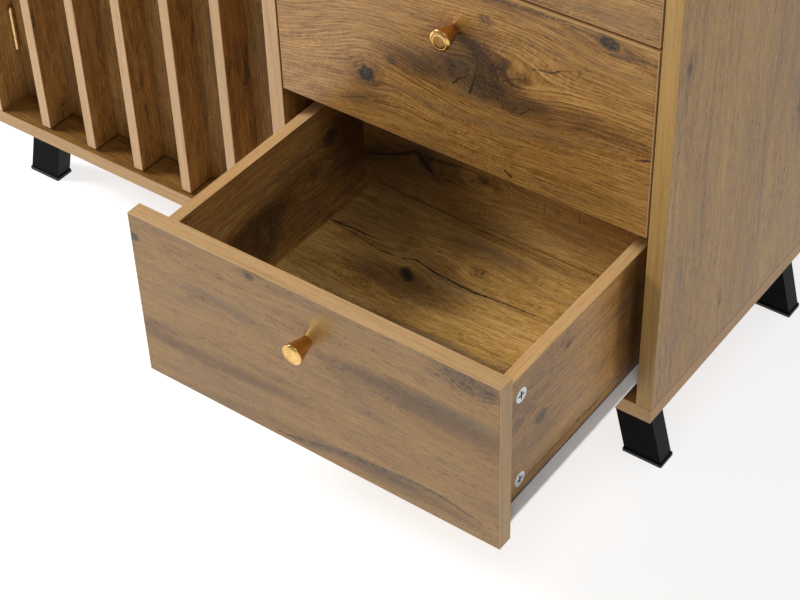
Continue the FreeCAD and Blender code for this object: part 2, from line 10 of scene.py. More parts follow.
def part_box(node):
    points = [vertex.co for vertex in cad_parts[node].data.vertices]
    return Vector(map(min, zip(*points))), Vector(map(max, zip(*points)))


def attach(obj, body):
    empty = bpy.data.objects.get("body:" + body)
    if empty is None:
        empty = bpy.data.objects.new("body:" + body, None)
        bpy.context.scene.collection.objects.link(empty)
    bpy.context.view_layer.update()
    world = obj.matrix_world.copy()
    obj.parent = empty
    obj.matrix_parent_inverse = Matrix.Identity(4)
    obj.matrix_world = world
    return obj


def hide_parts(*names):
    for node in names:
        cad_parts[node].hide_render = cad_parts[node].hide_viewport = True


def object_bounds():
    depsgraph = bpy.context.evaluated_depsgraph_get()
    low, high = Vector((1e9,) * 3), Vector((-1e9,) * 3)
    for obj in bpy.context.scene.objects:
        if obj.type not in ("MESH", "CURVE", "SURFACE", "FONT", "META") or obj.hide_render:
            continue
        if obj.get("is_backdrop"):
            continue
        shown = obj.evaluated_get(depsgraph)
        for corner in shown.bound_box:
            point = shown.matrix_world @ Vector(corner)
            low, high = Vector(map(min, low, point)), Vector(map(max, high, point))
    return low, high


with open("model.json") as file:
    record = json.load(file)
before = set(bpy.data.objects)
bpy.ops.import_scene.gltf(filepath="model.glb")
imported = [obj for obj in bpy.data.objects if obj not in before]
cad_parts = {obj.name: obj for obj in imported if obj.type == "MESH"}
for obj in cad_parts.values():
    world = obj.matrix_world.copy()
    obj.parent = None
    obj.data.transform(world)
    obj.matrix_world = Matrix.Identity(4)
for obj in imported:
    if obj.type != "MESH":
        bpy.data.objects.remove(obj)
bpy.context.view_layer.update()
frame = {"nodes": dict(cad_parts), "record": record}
NODES = frame["nodes"]
SLOT = {s["node"]: s["material_slot"] for s in frame["record"]["subparts"]}

X, Y, Z = 0, 1, 2


def lin(c):
    """An sRGB colour from 0 to 255 as the linear colour that the shaders take."""
    return tuple(v / 255 / 12.92 if v <= 10.3 else ((v / 255 + 0.055) / 1.055) ** 2.4 for v in c)


# ---- a short way to write shader nodes -----------------------------------------------------------
class Net:
    def __init__(self, tree):
        self.tree = tree

    def node(self, kind, **props):
        n = self.tree.nodes.new(kind)
        for k, v in props.items():
            setattr(n, k, v)
        return n

    def put(self, socket, value):
        if isinstance(value, bpy.types.NodeSocket):
            self.tree.links.new(value, socket)
        elif socket.type == "RGBA":
            socket.default_value = tuple(value) + (1.0,) * (4 - len(value))
        else:
            socket.default_value = value

    def m(self, op, a, b=None, c=None, clamp=False):
        n = self.node("ShaderNodeMath", operation=op, use_clamp=clamp)
        for i, v in enumerate((a, b, c)):
            if v is not None:
                self.put(n.inputs[i], v)
        return n.outputs[0]

    def add(self, a, b):
        return self.m("ADD", a, b)

    def sub(self, a, b):
        return self.m("SUBTRACT", a, b)

    def mul(self, a, b):
        return self.m("MULTIPLY", a, b)

    def mad(self, a, b, c):
        return self.m("MULTIPLY_ADD", a, b, c)

    def vec(self, op, a, b=None, scale=None, out=0):
        n = self.node("ShaderNodeVectorMath", operation=op)
        self.put(n.inputs[0], a)
        if b is not None:
            self.put(n.inputs[1], b)
        if scale is not None:
            self.put(n.inputs["Scale"], scale)
        return n.outputs[out]

    def after(self, v, first, scale=1e-6):
        """v, worked out after the number first. It keeps a long chain of features within what a shader can hold."""
        n = self.node("ShaderNodeVectorMath", operation="MULTIPLY_ADD")
        self.put(n.inputs[0], first)
        n.inputs[1].default_value = (scale, scale, scale)
        self.put(n.inputs[2], v)
        return n.outputs[0]

    def dot(self, a, b):
        return self.vec("DOT_PRODUCT", a, b, out=1)

    def xyz(self, a, b, c=0.0):
        n = self.node("ShaderNodeCombineXYZ")
        for i, v in enumerate((a, b, c)):
            self.put(n.inputs[i], v)
        return n.outputs[0]

    def split(self, v):
        n = self.node("ShaderNodeSeparateXYZ")
        self.put(n.inputs[0], v)
        return n.outputs

    def noise(self, v, detail=2.0, rough=0.5, distort=0.0):
        n = self.node("ShaderNodeTexNoise", noise_dimensions="3D")
        self.put(n.inputs["Vector"], v)
        n.inputs["Scale"].default_value = 1.0
        n.inputs["Detail"].default_value = detail
        n.inputs["Roughness"].default_value = rough
        n.inputs["Distortion"].default_value = distort
        return n.outputs["Fac"]

    def step(self, v, a, b, lo=0.0, hi=1.0):
        """lo at a, hi at b, smooth between."""
        n = self.node("ShaderNodeMapRange", interpolation_type="SMOOTHSTEP")
        for i, q in enumerate((v, a, b, lo, hi)):
            self.put(n.inputs[i], q)
        return n.outputs[0]

    def ramp(self, v, stops):
        n = self.node("ShaderNodeValToRGB")
        self.put(n.inputs[0], v)
        e = n.color_ramp.elements
        while len(e) < len(stops):
            e.new(0.5)
        for s, (p, c) in zip(e, stops):
            s.position = p
            s.color = tuple(c) + (1.0,)
        return n.outputs[0]

    def mix(self, f, a, b, kind="MIX"):
        n = self.node("ShaderNodeMix", data_type="RGBA", blend_type=kind, clamp_factor=True)
        self.put(n.inputs[0], f)
        self.put(n.inputs[6], a)
        self.put(n.inputs[7], b)
        return n.outputs[2]

    def pick(self, f, a, b):
        """a where f is 0 and b where it is 1, for numbers."""
        n = self.node("ShaderNodeMix", data_type="FLOAT", clamp_factor=True)
        self.put(n.inputs[0], f)
        self.put(n.inputs[2], a)
        self.put(n.inputs[3], b)
        return n.outputs[0]

    def bump(self, height, distance, strength=1.0):
        n = self.node("ShaderNodeBump")
        n.inputs["Strength"].default_value = strength
        n.inputs["Distance"].default_value = distance
        self.put(n.inputs["Height"], height)
        return n.outputs["Normal"]


def material(name):
    mat = bpy.data.materials.new(name)
    mat.use_nodes = True
    net = Net(mat.node_tree)
    shader = mat.node_tree.nodes["Principled BSDF"]
    return mat, net, shader


def where(net):
    """Place in millimetres and normal, both in the piece's own frame."""
    tc = net.node("ShaderNodeTexCoord")
    return net.vec("SCALE", tc.outputs["Object"], scale=1000.0), tc.outputs["Normal"]


# ---- oak melamine --------------------------------------------------------------------------------
BAND = (192, 153, 106)


def group(name, ins, outs):
    """A node group, its Net and its input sockets by name. ins: (name, kind, default)."""
    t = bpy.data.node_groups.new(name, "ShaderNodeTree")
    for n, kind, v in ins:
        q = t.interface.new_socket(n, in_out="INPUT", socket_type="NodeSocket" + kind)
        q.default_value = v
    for n, kind in outs:
        t.interface.new_socket(n, in_out="OUTPUT", socket_type="NodeSocket" + kind)
    net = Net(t)
    gi = net.node("NodeGroupInput")
    go = net.node("NodeGroupOutput")
    return t, net, {q.name: q for q in gi.outputs if q.name}, go


def knot_group():
    """A knot: the grain bends round it, the wood darkens near it, and its heart is dark."""
    t, net, i, go = group("knot", [("P", "Vector", (0, 0, 0)), ("Rag", "Float", 0.5), ("Jag", "Float", 0.0), ("Centre", "Vector", (0, 0, 0)),
                                   ("Inverse", "Vector", (1, 1, 0)), ("Radius", "Float", 5.0), ("Flow", "Float", 15.0), ("Dark", "Float", 0.8),
                                   ("Psi", "Float", 0.0), ("Halo", "Float", 0.0), ("Core", "Float", 0.0), ("Ring", "Float", 999.0)],
                          [("Psi", "Float"), ("Halo", "Float"), ("Core", "Float"), ("Ring", "Float")])
    d = net.vec("MULTIPLY", net.vec("SUBTRACT", net.after(i["P"], i["Psi"], 1e-7), i["Centre"]), i["Inverse"])
    r2 = net.dot(d, d)
    f2 = net.mul(i["Flow"], i["Flow"])
    q = net.m("DIVIDE", f2, net.mad(f2, 0.95, r2))
    psi = net.sub(i["Psi"], net.mul(net.split(d)[1], net.mul(q, 0.93)))
    h2 = net.mul(f2, 0.34)
    h = net.m("DIVIDE", h2, net.add(r2, h2))
    halo_and_shade = net.m("MAXIMUM", i["Halo"], net.mul(net.mul(h, h), i["Dark"]))
    lump = net.mad(net.sub(i["Rag"], 0.5), 1.1, net.mul(i["Jag"], 0.9))
    rr = net.add(net.m("SQRT", r2), net.mul(lump, i["Radius"]))
    c = net.step(net.m("DIVIDE", rr, net.m("MAXIMUM", i["Radius"], 0.01)), 1.16, 0.84)
    core = net.m("MAXIMUM", i["Core"], net.mul(c, i["Dark"]))
    ring = net.m("MINIMUM", i["Ring"], rr)
    for k, v in enumerate((psi, halo_and_shade, core, ring)):
        net.put(go.inputs[k], v)
    return t


def blot_group():
    """A rough-edged dark patch: a stain on most boards, painted shade on a few. An ellipse with axes A and B, already
    divided by its half sizes.
    """
    t, net, i, go = group("blot", [("P", "Vector", (0, 0, 0)), ("Rag", "Float", 0.5), ("Centre", "Vector", (0, 0, 0)),
                                   ("A", "Vector", (1, 0, 0)), ("B", "Vector", (0, 1, 0)), ("Dark", "Float", 0.5), ("Sum", "Float", 0.0)],
                          [("Sum", "Float")])
    d = net.vec("SUBTRACT", net.after(i["P"], i["Sum"]), i["Centre"])
    e1, e2 = net.dot(d, i["A"]), net.dot(d, i["B"])
    r2 = net.mad(e1, e1, net.mul(e2, e2))
    g = net.step(net.mad(net.sub(i["Rag"], 0.5), 1.7, r2), 1.75, -0.15)
    net.put(go.inputs[0], net.m("MAXIMUM", i["Sum"], net.mul(g, i["Dark"])))
    return t


def line_group():
    """A crack, a streak or a painted shadow line from A along D, with a ragged width that changes from W0 to W1."""
    t, net, i, go = group("line", [("P", "Vector", (0, 0, 0)), ("Rag", "Float", 0.5), ("A", "Vector", (0, 0, 0)), ("D", "Vector", (1, 0, 0)),
                                   ("Inverse", "Float", 1.0), ("W0", "Float", 1.0), ("W1", "Float", 1.0), ("Inner", "Float", 0.3), ("Rough", "Float", 1.0),
                                   ("Dark", "Float", 1.0), ("Sum", "Float", 0.0)], [("Sum", "Float")])
    d = net.vec("SUBTRACT", net.after(i["P"], i["Sum"]), i["A"])
    t0 = net.m("MULTIPLY", net.dot(d, i["D"]), i["Inverse"], clamp=True)
    e = net.vec("SUBTRACT", d, net.vec("SCALE", i["D"], scale=t0))
    wide = net.mad(net.sub(i["W1"], i["W0"]), t0, i["W0"])
    wd = net.m("MAXIMUM", net.mad(net.sub(i["Rag"], 0.5), i["Rough"], 1.0), 0.05)
    dist = net.m("DIVIDE", net.vec("LENGTH", e, out=1), net.mul(wd, wide))
    g = net.step(dist, 1.5, i["Inner"])
    net.put(go.inputs[0], net.m("MAXIMUM", i["Sum"], net.mul(g, i["Dark"])))
    return t


def grain_group():
    """The wood itself along a bent grain: colour, roughness and height. Millimetres."""
    t, net, i, go = group("grain", [("U", "Float", 0.0), ("V", "Float", 0.0), ("Psi", "Float", 0.0), ("Seed", "Float", 0.0), ("Rag", "Float", 0.5),
                                    ("Halo", "Float", 0.0), ("Smudge", "Float", 0.0), ("Core", "Float", 0.0), ("Ring", "Float", 999.0), ("Crack", "Float", 0.0),
                                    ("Tone", "Float", 0.0), ("Contrast", "Float", 1.0), ("Rings", "Float", 0.7), ("Warm", "Float", 0.0)],
                          [("Color", "Color"), ("Roughness", "Float"), ("Height", "Float")])
    u, psi, w = i["U"], i["Psi"], i["Seed"]
    n1 = net.noise(net.xyz(net.mul(u, 0.0050), net.mul(psi, 0.026), net.add(w, 1.0)), 3.0, 0.5)
    n2 = net.noise(net.xyz(net.mul(u, 0.014), net.mul(psi, 0.16), net.add(w, 3.0)), 4.0, 0.6)
    n3 = net.noise(net.xyz(net.mul(u, 0.055), net.mul(psi, 0.75), net.add(w, 4.0)), 4.0, 0.72)
    # pores: short dark ticks that sit in rows
    n4 = net.noise(net.xyz(net.mul(u, 0.13), net.mul(psi, 0.95), net.add(w, 6.0)), 2.0, 0.6)
    n5 = net.noise(net.xyz(net.mul(u, 0.34), net.mul(psi, 2.0), net.add(w, 8.0)), 2.0, 0.6)
    # yearly rings: fine lines with a sharp side
    drift = net.noise(net.xyz(net.mul(u, 0.007), net.mul(psi, 0.045), net.add(w, 15.0)), 2.0, 0.5)
    ph = net.m("FRACT", net.mad(psi, 0.30, net.mad(drift, 4.0, net.mul(n2, 0.35))))
    ring = net.sub(net.step(ph, 0.0, 0.80), net.step(ph, 0.86, 1.0))
    gate = net.step(n1, 0.38, 0.60)
    c = i["Contrast"]
    t0 = net.add(net.mul(net.sub(n1, 0.5), net.mul(c, 0.75)), net.add(i["Tone"], 0.56))
    t0 = net.add(net.mul(net.sub(n2, 0.5), net.mul(c, 0.62)), t0)
    t0 = net.add(net.mul(net.sub(n3, 0.5), net.mul(c, 1.35)), t0)
    t0 = net.add(net.mul(net.sub(n5, 0.5), net.mul(c, 0.55)), t0)
    t0 = net.sub(t0, net.mul(net.mul(ring, net.mad(gate, 0.14, 0.13)), i["Rings"]))
    # saw marks: short pale strokes across the grain, here and there
    saw = net.noise(net.xyz(net.mad(i["V"], 0.22, net.mul(u, -0.50)), net.mad(u, 0.045, net.mul(i["V"], 0.11)), net.add(w, 17.0)), 2.0, 0.6)
    t0 = net.add(t0, net.mul(net.sub(saw, 0.5), net.mul(net.step(drift, 0.46, 0.62, 0.10, 0.60), c)))
    # the halo darkens the wood round knots; clouds add to it, darker wood on the fronts and painted shade on the lower
    # drawer's bottom, back and sides
    t0 = net.sub(t0, net.mul(i["Halo"], 0.30))
    col = net.ramp(t0, [
        (0.00, lin((90, 57, 26))),
        (0.26, lin((128, 89, 43))),
        (0.50, lin((161, 119, 63))),
        (0.74, lin((181, 140, 83))),
        (1.00, lin((199, 162, 108))),
    ])
    g1 = net.noise(net.xyz(net.mul(u, 0.0065), net.mul(psi, 0.06), net.add(w, 11.0)), 3.0, 0.6)
    col = net.mix(net.mul(net.step(g1, 0.52, 0.74), 0.48), col, lin((112, 94, 74)))
    col = net.mix(net.mul(i["Warm"], 0.5), col, lin((168, 116, 52)), "OVERLAY")
    col = net.mix(net.mul(i["Halo"], 0.42), col, lin((78, 60, 42)))
    pore = net.mul(net.step(n4, 0.57, 0.66), net.mad(net.step(n2, 0.60, 0.40), 0.75, 0.25))
    fine = net.mul(net.step(n5, 0.60, 0.72), 0.60)
    pores = net.m("MAXIMUM", pore, fine)
    col = net.mix(net.mul(pores, 0.68), col, lin((72, 50, 31)))
    tex = net.step(net.mad(net.sub(n3, 0.5), 1.0, net.mad(net.sub(n5, 0.5), 0.7, i["Rag"])), 0.34, 0.66)
    burl = net.noise(net.xyz(net.mul(u, 0.27), net.mul(i["V"], 0.36), net.add(w, 21.0)), 3.0, 0.75)
    speck = net.step(net.mad(net.sub(n5, 0.5), 0.55, burl), 0.47, 0.58)
    tex = net.m("MAXIMUM", net.mul(tex, 0.7), speck)
    # blots and streaks darken the wood; one blot on the lower drawer's right side is painted shade where the side goes
    # into the carcase
    sm = net.mul(i["Smudge"], net.mad(tex, 1.0, 0.14))
    col = net.mix(sm, col, lin((46, 36, 28)))
    inner = net.ramp(net.mad(net.sub(n5, 0.5), 0.6, burl), [(0.38, lin((36, 31, 28))), (0.52, lin((58, 47, 38))), (0.64, lin((92, 71, 50))), (0.76, lin((128, 98, 66)))])
    col = net.mix(i["Core"], col, inner)
    # cracks darken the wood and sink it; one line along the lower drawer's right side is a painted shadow above the
    # runner
    col = net.mix(i["Crack"], col, lin((34, 26, 21)))
    net.put(go.inputs[0], col)
    net.put(go.inputs[1], net.mad(pores, 0.14, net.mad(n2, 0.18, 0.25)))
    net.put(go.inputs[2], net.add(net.mad(n3, 0.5, net.mul(pores, -0.6)), net.mul(i["Crack"], -0.8)))
    return t


def wander_group():
    """The slow wander of the grain, and two kinds of raggedness."""
    t, net, i, go = group("wander", [("U", "Float", 0.0), ("V", "Float", 0.0), ("Seed", "Float", 0.0), ("Wide", "Float", 20.0), ("Small", "Float", 5.0)],
                          [("Psi", "Float"), ("Jag", "Float"), ("Rag", "Float")])
    u, v, w = i["U"], i["V"], i["Seed"]
    a = net.noise(net.xyz(net.mul(u, 0.0045), net.mul(v, 0.016), w), 1.0)
    b = net.noise(net.xyz(net.mul(u, 0.021), net.mul(v, 0.07), net.add(w, 5.0)), 2.0)
    psi = net.add(v, net.mul(net.sub(a, 0.5), i["Wide"]))
    psi = net.add(psi, net.mul(net.sub(b, 0.5), i["Small"]))
    jag = net.noise(net.xyz(net.mul(u, 0.16), net.mul(v, 0.3), net.add(w, 9.0)), 3.0, 0.6)
    rag = net.noise(net.xyz(net.mul(u, 0.36), net.mul(v, 0.45), net.add(w, 2.0)), 3.0, 0.7)
    for k, q in enumerate((psi, net.sub(jag, 0.5), rag)):
        net.put(go.inputs[k], q)
    return t


def band_group():
    """An edge band: pale, with short straight grain along its length."""
    t, net, i, go = group("band", [("Length", "Float", 0.0), ("Across", "Float", 0.0), ("Seed", "Float", 0.0), ("Tone", "Float", 0.0), ("Gain", "Float", 1.0)], [("Color", "Color")])
    e1 = net.noise(net.xyz(net.mul(i["Length"], 0.010), net.mul(i["Across"], 0.34), i["Seed"]), 3.0, 0.6)
    e2 = net.noise(net.xyz(net.mul(i["Length"], 0.07), net.mul(i["Across"], 1.25), net.add(i["Seed"], 3.0)), 3.0, 0.6)
    band = net.add(net.mad(net.sub(e1, 0.5), 1.0, 0.5), i["Tone"])
    band = net.mad(net.sub(e2, 0.5), 0.75, band)
    col = net.ramp(band, [(0.10, lin((BAND[0] - 36, BAND[1] - 38, BAND[2] - 38))), (0.5, lin(BAND)), (0.9, lin((BAND[0] + 13, BAND[1] + 14, BAND[2] + 15)))])
    col = net.mix(net.mul(net.step(e2, 0.55, 0.70), 0.46), col, lin((140, 102, 62)))
    net.put(go.inputs[0], net.vec("SCALE", col, scale=i["Gain"]))
    return t


KNOT, BLOT, LINE, GRAIN, WANDER, BANDS = knot_group(), blot_group(), line_group(), grain_group(), wander_group(), band_group()


def use(net, tree, **values):
    n = net.node("ShaderNodeGroup", node_tree=tree)
    for k, v in values.items():
        net.put(n.inputs[k], v)
    return n.outputs


def oak(name, thick, grain, box, feats, seed, tone=0.0, warm=0.0, warp=(14.0, 2.5), contrast=1.0, side=0, border=True, raw_side=0, gains=(1.0, 1.0, 1.0), tint=None, rings=0.7, gloss=0.5):
    """A board of printed oak with lighter edge bands.
    thick, grain: axes of its thickness and grain. box: its corners in millimetres. side: the sign of the
    face that the features are laid out on. feats: knots, blots, splits and streaks of that face.
    gains: painted light and shade, how much lighter the face, the long edges and the ends are made beside other boards
    for the light, shade and sheen on them. The first two may be (u, gain, u, gain), for a painted shadow or sheen that
    changes along the grain, and the last two (r, g, b). tint: painted light colour, the board's hue beside other
    boards, shifted for the light, bounce and sheen on it. On the lower drawer's boards some clouds, a blot and a split
    in feats paint shade.
    rings: how strong the yearly rings show."""
    mat, net, sh = material(name)
    p, nrm = where(net)
    px = net.split(p)
    nx = net.split(nrm)
    other = 3 - thick - grain
    lo, hi = box
    u, v0 = px[grain], px[other]
    far = net.m("LESS_THAN" if side > 0 else "GREATER_THAN", nx[thick], 0.0)
    v = net.pick(far, v0, net.sub(lo[other] + hi[other], v0))
    w = net.mad(far, 41.0, float(seed))
    main = net.m("GREATER_THAN", net.m("ABSOLUTE", nx[thick]), 0.7)
    wan = use(net, WANDER, U=u, V=v, Seed=w, Wide=warp[0] * 2, Small=warp[1] * 2)
    psi, jag, rag = wan["Psi"], wan["Jag"], wan["Rag"]
    pt = net.xyz(u, v, 0.0)
    pj = net.xyz(u, net.mad(jag, 4.0, v), 0.0)
    halo_and_shade, core, ring, stain_and_shade, crack_and_shadow_line = 0.0, 0.0, 999.0, 0.0, 0.0
    for f in feats:
        kind = f[0]
        if kind == "bend":      # from u, to u, rise: the grain lines fall by the rise between the two
            psi = net.add(psi, net.step(u, float(f[1]), float(f[2]), 0.0, float(f[3])))
        elif kind == "knot":    # u, v, core radius, stretch along the grain, flow radius, darkness
            _, ku, kv, r, s, flow, dark = f
            q = use(net, KNOT, P=pt, Rag=rag, Jag=jag, Centre=(ku, kv, 0.0), Inverse=(1.0 / s, 1.0, 0.0), Radius=float(r), Flow=float(flow), Dark=dark,
                    Psi=psi, Halo=halo_and_shade, Core=core, Ring=ring)
            psi, halo_and_shade, core, ring = q["Psi"], q["Halo"], q["Core"], q["Ring"]
        elif kind in ("blot", "cloud"):     # u, v, half length, half width, angle in degrees, darkness
            _, ku, kv, hl, hw, ang, dark = f
            ca, sa = math.cos(math.radians(ang)), math.sin(math.radians(ang))
            ends = {"P": pt, "Rag": rag, "Centre": (ku, kv, 0.0), "A": (ca / hl, sa / hl, 0.0), "B": (-sa / hw, ca / hw, 0.0), "Dark": dark}
            if kind == "blot":
                stain_and_shade = use(net, BLOT, Sum=stain_and_shade, **ends)["Sum"]
            else:               # a soft darker patch: darker wood on the fronts, painted shade on the lower drawer's bottom, back and sides
                halo_and_shade = use(net, BLOT, Sum=halo_and_shade, **ends)["Sum"]
        else:                   # points (u, v and an optional width factor), half width, darkness
            _, pts, hw, dark = f
            pts = [tuple(q) + (1.0,) * (3 - len(q)) for q in pts]
            for (ax, ay, aw), (bx, by, bw) in zip(pts, pts[1:]):
                d = (bx - ax, by - ay, 0.0)
                inv = 1.0 / (d[0] ** 2 + d[1] ** 2)
                if kind == "split":
                    crack_and_shadow_line = use(net, LINE, P=pj, Rag=rag, A=(ax, ay, 0.0), D=d, Inverse=inv, W0=hw * aw, W1=hw * bw, Inner=0.45, Rough=2.0, Dark=dark, Sum=crack_and_shadow_line)["Sum"]
                else:
                    stain_and_shade = use(net, LINE, P=pj, Rag=rag, A=(ax, ay, 0.0), D=d, Inverse=inv, W0=hw * aw, W1=hw * bw, Inner=0.0, Rough=2.2, Dark=dark, Sum=stain_and_shade)["Sum"]

    g = use(net, GRAIN, U=u, V=v, Psi=psi, Seed=w, Rag=rag, Halo=halo_and_shade, Smudge=stain_and_shade, Core=core, Ring=ring, Crack=crack_and_shadow_line,
            Tone=tone, Contrast=contrast, Rings=rings, Warm=warm)
    col, rough, height = g["Color"], g["Roughness"], g["Height"]
    # painted light and shade: the face made lighter or darker, evenly or along the grain
    if isinstance(gains[0], tuple):
        ua, ga, ub, gb = gains[0]
        col = net.vec("SCALE", col, scale=net.step(u, float(ua), float(ub), ga, gb))
    elif gains[0] != 1.0:
        col = net.vec("SCALE", col, scale=gains[0])

    # edge bands: straight and even, lighter than the face
    end = net.m("GREATER_THAN", net.m("ABSOLUTE", nx[grain]), 0.7)
    length = net.pick(end, px[grain], px[other])
    band_col = use(net, BANDS, Length=length, Across=px[thick], Seed=float(seed) * 1.7, Tone=tone)["Color"]
    edge = []
    # painted light and shade on the edge bands: each band's gain or (r, g, b) shift, even or along the grain
    for g in gains[1:]:
        if isinstance(g, float):
            edge.append((g, g, g))
        elif len(g) == 3:
            edge.append(tuple(g))
        else:
            f = net.step(u, float(g[0]), float(g[2]), g[1], g[3])
            edge.append(net.xyz(f, f, f))
    if edge[0] != edge[1]:
        band_col = net.vec("MULTIPLY", band_col, net.mix(end, edge[0], edge[1]))
    elif edge[0] != (1.0, 1.0, 1.0):
        band_col = net.vec("MULTIPLY", band_col, edge[0])
    if border:
        du = net.m("MINIMUM", net.sub(px[grain], lo[grain]), net.sub(hi[grain], px[grain]))
        dv = net.m("MINIMUM", net.sub(px[other], lo[other]), net.sub(hi[other], px[other]))
        dd = net.m("MINIMUM", du, dv)
        line = net.step(dd, 1.15, 0.7)
        # painted shade: a darker strip just inside the border of each face
        shade = net.mul(net.step(dd, 2.6, 1.2), 0.22)
        col = net.mix(shade, col, lin((60, 44, 30)))
        col = net.mix(net.mul(line, 0.62), col, band_col)
    col = net.mix(main, band_col, col)
    # painted light colour: the board's hue shifted for the light, bounce and sheen on it
    if tint:
        col = net.vec("MULTIPLY", col, tuple(tint))
    if raw_side:
        back = net.m("GREATER_THAN" if raw_side > 0 else "LESS_THAN", nx[thick], 0.0)
        f1 = net.noise(net.vec("SCALE", p, scale=0.9), 4.0, 0.7)
        f2 = net.noise(net.vec("SCALE", p, scale=0.05), 3.0, 0.6)
        f3 = net.noise(net.vec("SCALE", p, scale=0.30), 3.0, 0.75)
        fleck = net.mad(net.sub(f2, 0.5), 0.30, net.mad(net.sub(f3, 0.5), 0.55, f1))
        raw = net.ramp(fleck, [(0.25, lin((98, 68, 44))), (0.42, lin((122, 88, 58))), (0.60, lin((140, 103, 70))), (0.78, lin((168, 132, 96)))])
        col = net.mix(back, col, raw)
        rough = net.pick(back, rough, 0.8)
        height = net.pick(back, height, f1)
    net.put(sh.inputs["Base Color"], col)
    net.put(sh.inputs["Roughness"], rough)
    net.put(sh.inputs["Normal"], net.bump(height, 0.00006, 0.7))
    sh.inputs["Specular IOR Level"].default_value = gloss
    return mat


# ---- the other finishes --------------------------------------------------------------------------
def metal(name, colour, rough=0.25, vary=0.08, scale=0.35, scratch=0.5, stretch=(1, 1, 1), wear=None, specular=None):
    """A bare or plated metal with fine drawn lines, soft stains and small scratches."""
    mat, net, sh = material(name)
    p, nrm = where(net)
    n1 = net.noise(net.vec("SCALE", p, scale=scale * 0.25), 3.0, 0.6)
    n2 = net.noise(net.vec("MULTIPLY", p, tuple(scale * 4 * s for s in stretch)), 3.0, 0.65)
    n3 = net.noise(net.vec("SCALE", p, scale=scale * 12), 2.0, 0.5)
    dark = tuple(c * 0.74 for c in colour)
    lite = tuple(min(1.0, c * 1.12) for c in colour)
    col = net.ramp(net.mad(net.sub(n2, 0.5), 0.5, n1), [(0.30, dark), (0.52, colour), (0.74, lite)])
    if wear:
        col = net.mix(net.mul(net.step(n1, 0.55, 0.75), 0.5), col, wear)
    net.put(sh.inputs["Base Color"], col)
    net.put(sh.inputs["Roughness"], net.mad(net.sub(n1, 0.5), vary * 3, net.mad(net.sub(n2, 0.5), vary * 2, rough)))
    net.put(sh.inputs["Normal"], net.bump(net.mad(n3, 0.4, n2), 0.00002, scratch))
    sh.inputs["Metallic"].default_value = 1.0
    return mat


def coated(name, colour, rough=0.45, grain=2.2, bump=0.6, depth=0.00008, spec=0.4, spread=0.25, dust=None, front=None):
    """A moulded plastic or a sprayed coat: even colour with orange peel, faint mottling and dust."""
    mat, net, sh = material(name)
    p, nrm = where(net)
    n1 = net.noise(net.vec("SCALE", p, scale=grain), 2.0, 0.5)
    n2 = net.noise(net.vec("SCALE", p, scale=0.06), 3.0, 0.6)
    n3 = net.noise(net.vec("SCALE", p, scale=0.5), 3.0, 0.65)
    a = tuple(c * (1 - spread) for c in colour)
    b = tuple(min(1.0, c * (1 + spread)) for c in colour)
    col = net.ramp(net.mad(net.sub(n3, 0.5), 0.6, n2), [(0.3, a), (0.5, colour), (0.72, b)])
    if dust:
        up = net.split(nrm)[2]
        col = net.mix(net.mul(net.step(up, 0.3, 1.0), net.mul(n3, 0.4)), col, dust)
    net.put(sh.inputs["Base Color"], col)
    net.put(sh.inputs["Roughness"], net.mad(net.sub(n3, 0.5), 0.22, net.mad(n2, 0.08, rough - 0.04)))
    net.put(sh.inputs["Normal"], net.bump(net.mad(n1, 1.0, net.mul(n3, 0.4)), depth, bump))
    sh.inputs["Specular IOR Level"].default_value = spec
    if front is not None:       # painted shade: faces towards -Y shine less, so the leg's front, shaded under the bottom board, reads darker
        net.put(sh.inputs["Specular IOR Level"], net.step(net.split(nrm)[1], -0.9, -0.3, front, spec))
    return mat


def turned_brass(name, cx, cz, y_face):
    """The knobs' satin gold: turned rings on the face, fine lines round the cone."""
    mat, net, sh = material(name)
    p, nrm = where(net)
    px = net.split(p)
    dx, dz = net.sub(px[0], cx), net.sub(px[2], cz)
    r = net.m("SQRT", net.mad(dx, dx, net.mul(dz, dz)))
    ang = net.m("ARCTAN2", dz, dx)
    face = net.step(net.m("ABSOLUTE", net.split(nrm)[1]), 0.80, 0.96)
    rings = net.noise(net.xyz(net.mul(r, 3.2), 0.0, 4.0), 3.0, 0.7)
    lines = net.noise(net.xyz(net.mul(px[1], 2.6), net.mul(ang, 0.5), 9.0), 3.0, 0.7)
    h = net.pick(face, lines, rings)
    stain = net.noise(net.vec("SCALE", p, scale=0.11), 3.0, 0.6)
    t = net.mad(net.sub(h, 0.5), 0.5, stain)
    col = net.ramp(t, [(0.3, (0.62, 0.35, 0.10)), (0.5, (0.78, 0.47, 0.16)), (0.72, (0.86, 0.57, 0.24))])
    net.put(sh.inputs["Base Color"], col)
    rough = net.mad(net.sub(h, 0.5), 0.16, net.mad(stain, 0.10, 0.17))
    net.put(sh.inputs["Roughness"], rough)
    net.put(sh.inputs["Normal"], net.bump(h, 0.00003, 0.5))
    sh.inputs["Metallic"].default_value = 1.0
    return mat


# ---- what each board shows -----------------------------------------------------------------------
def mm_box(node):
    lo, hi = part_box(node)
    return [c * 1000 for c in lo], [c * 1000 for c in hi]


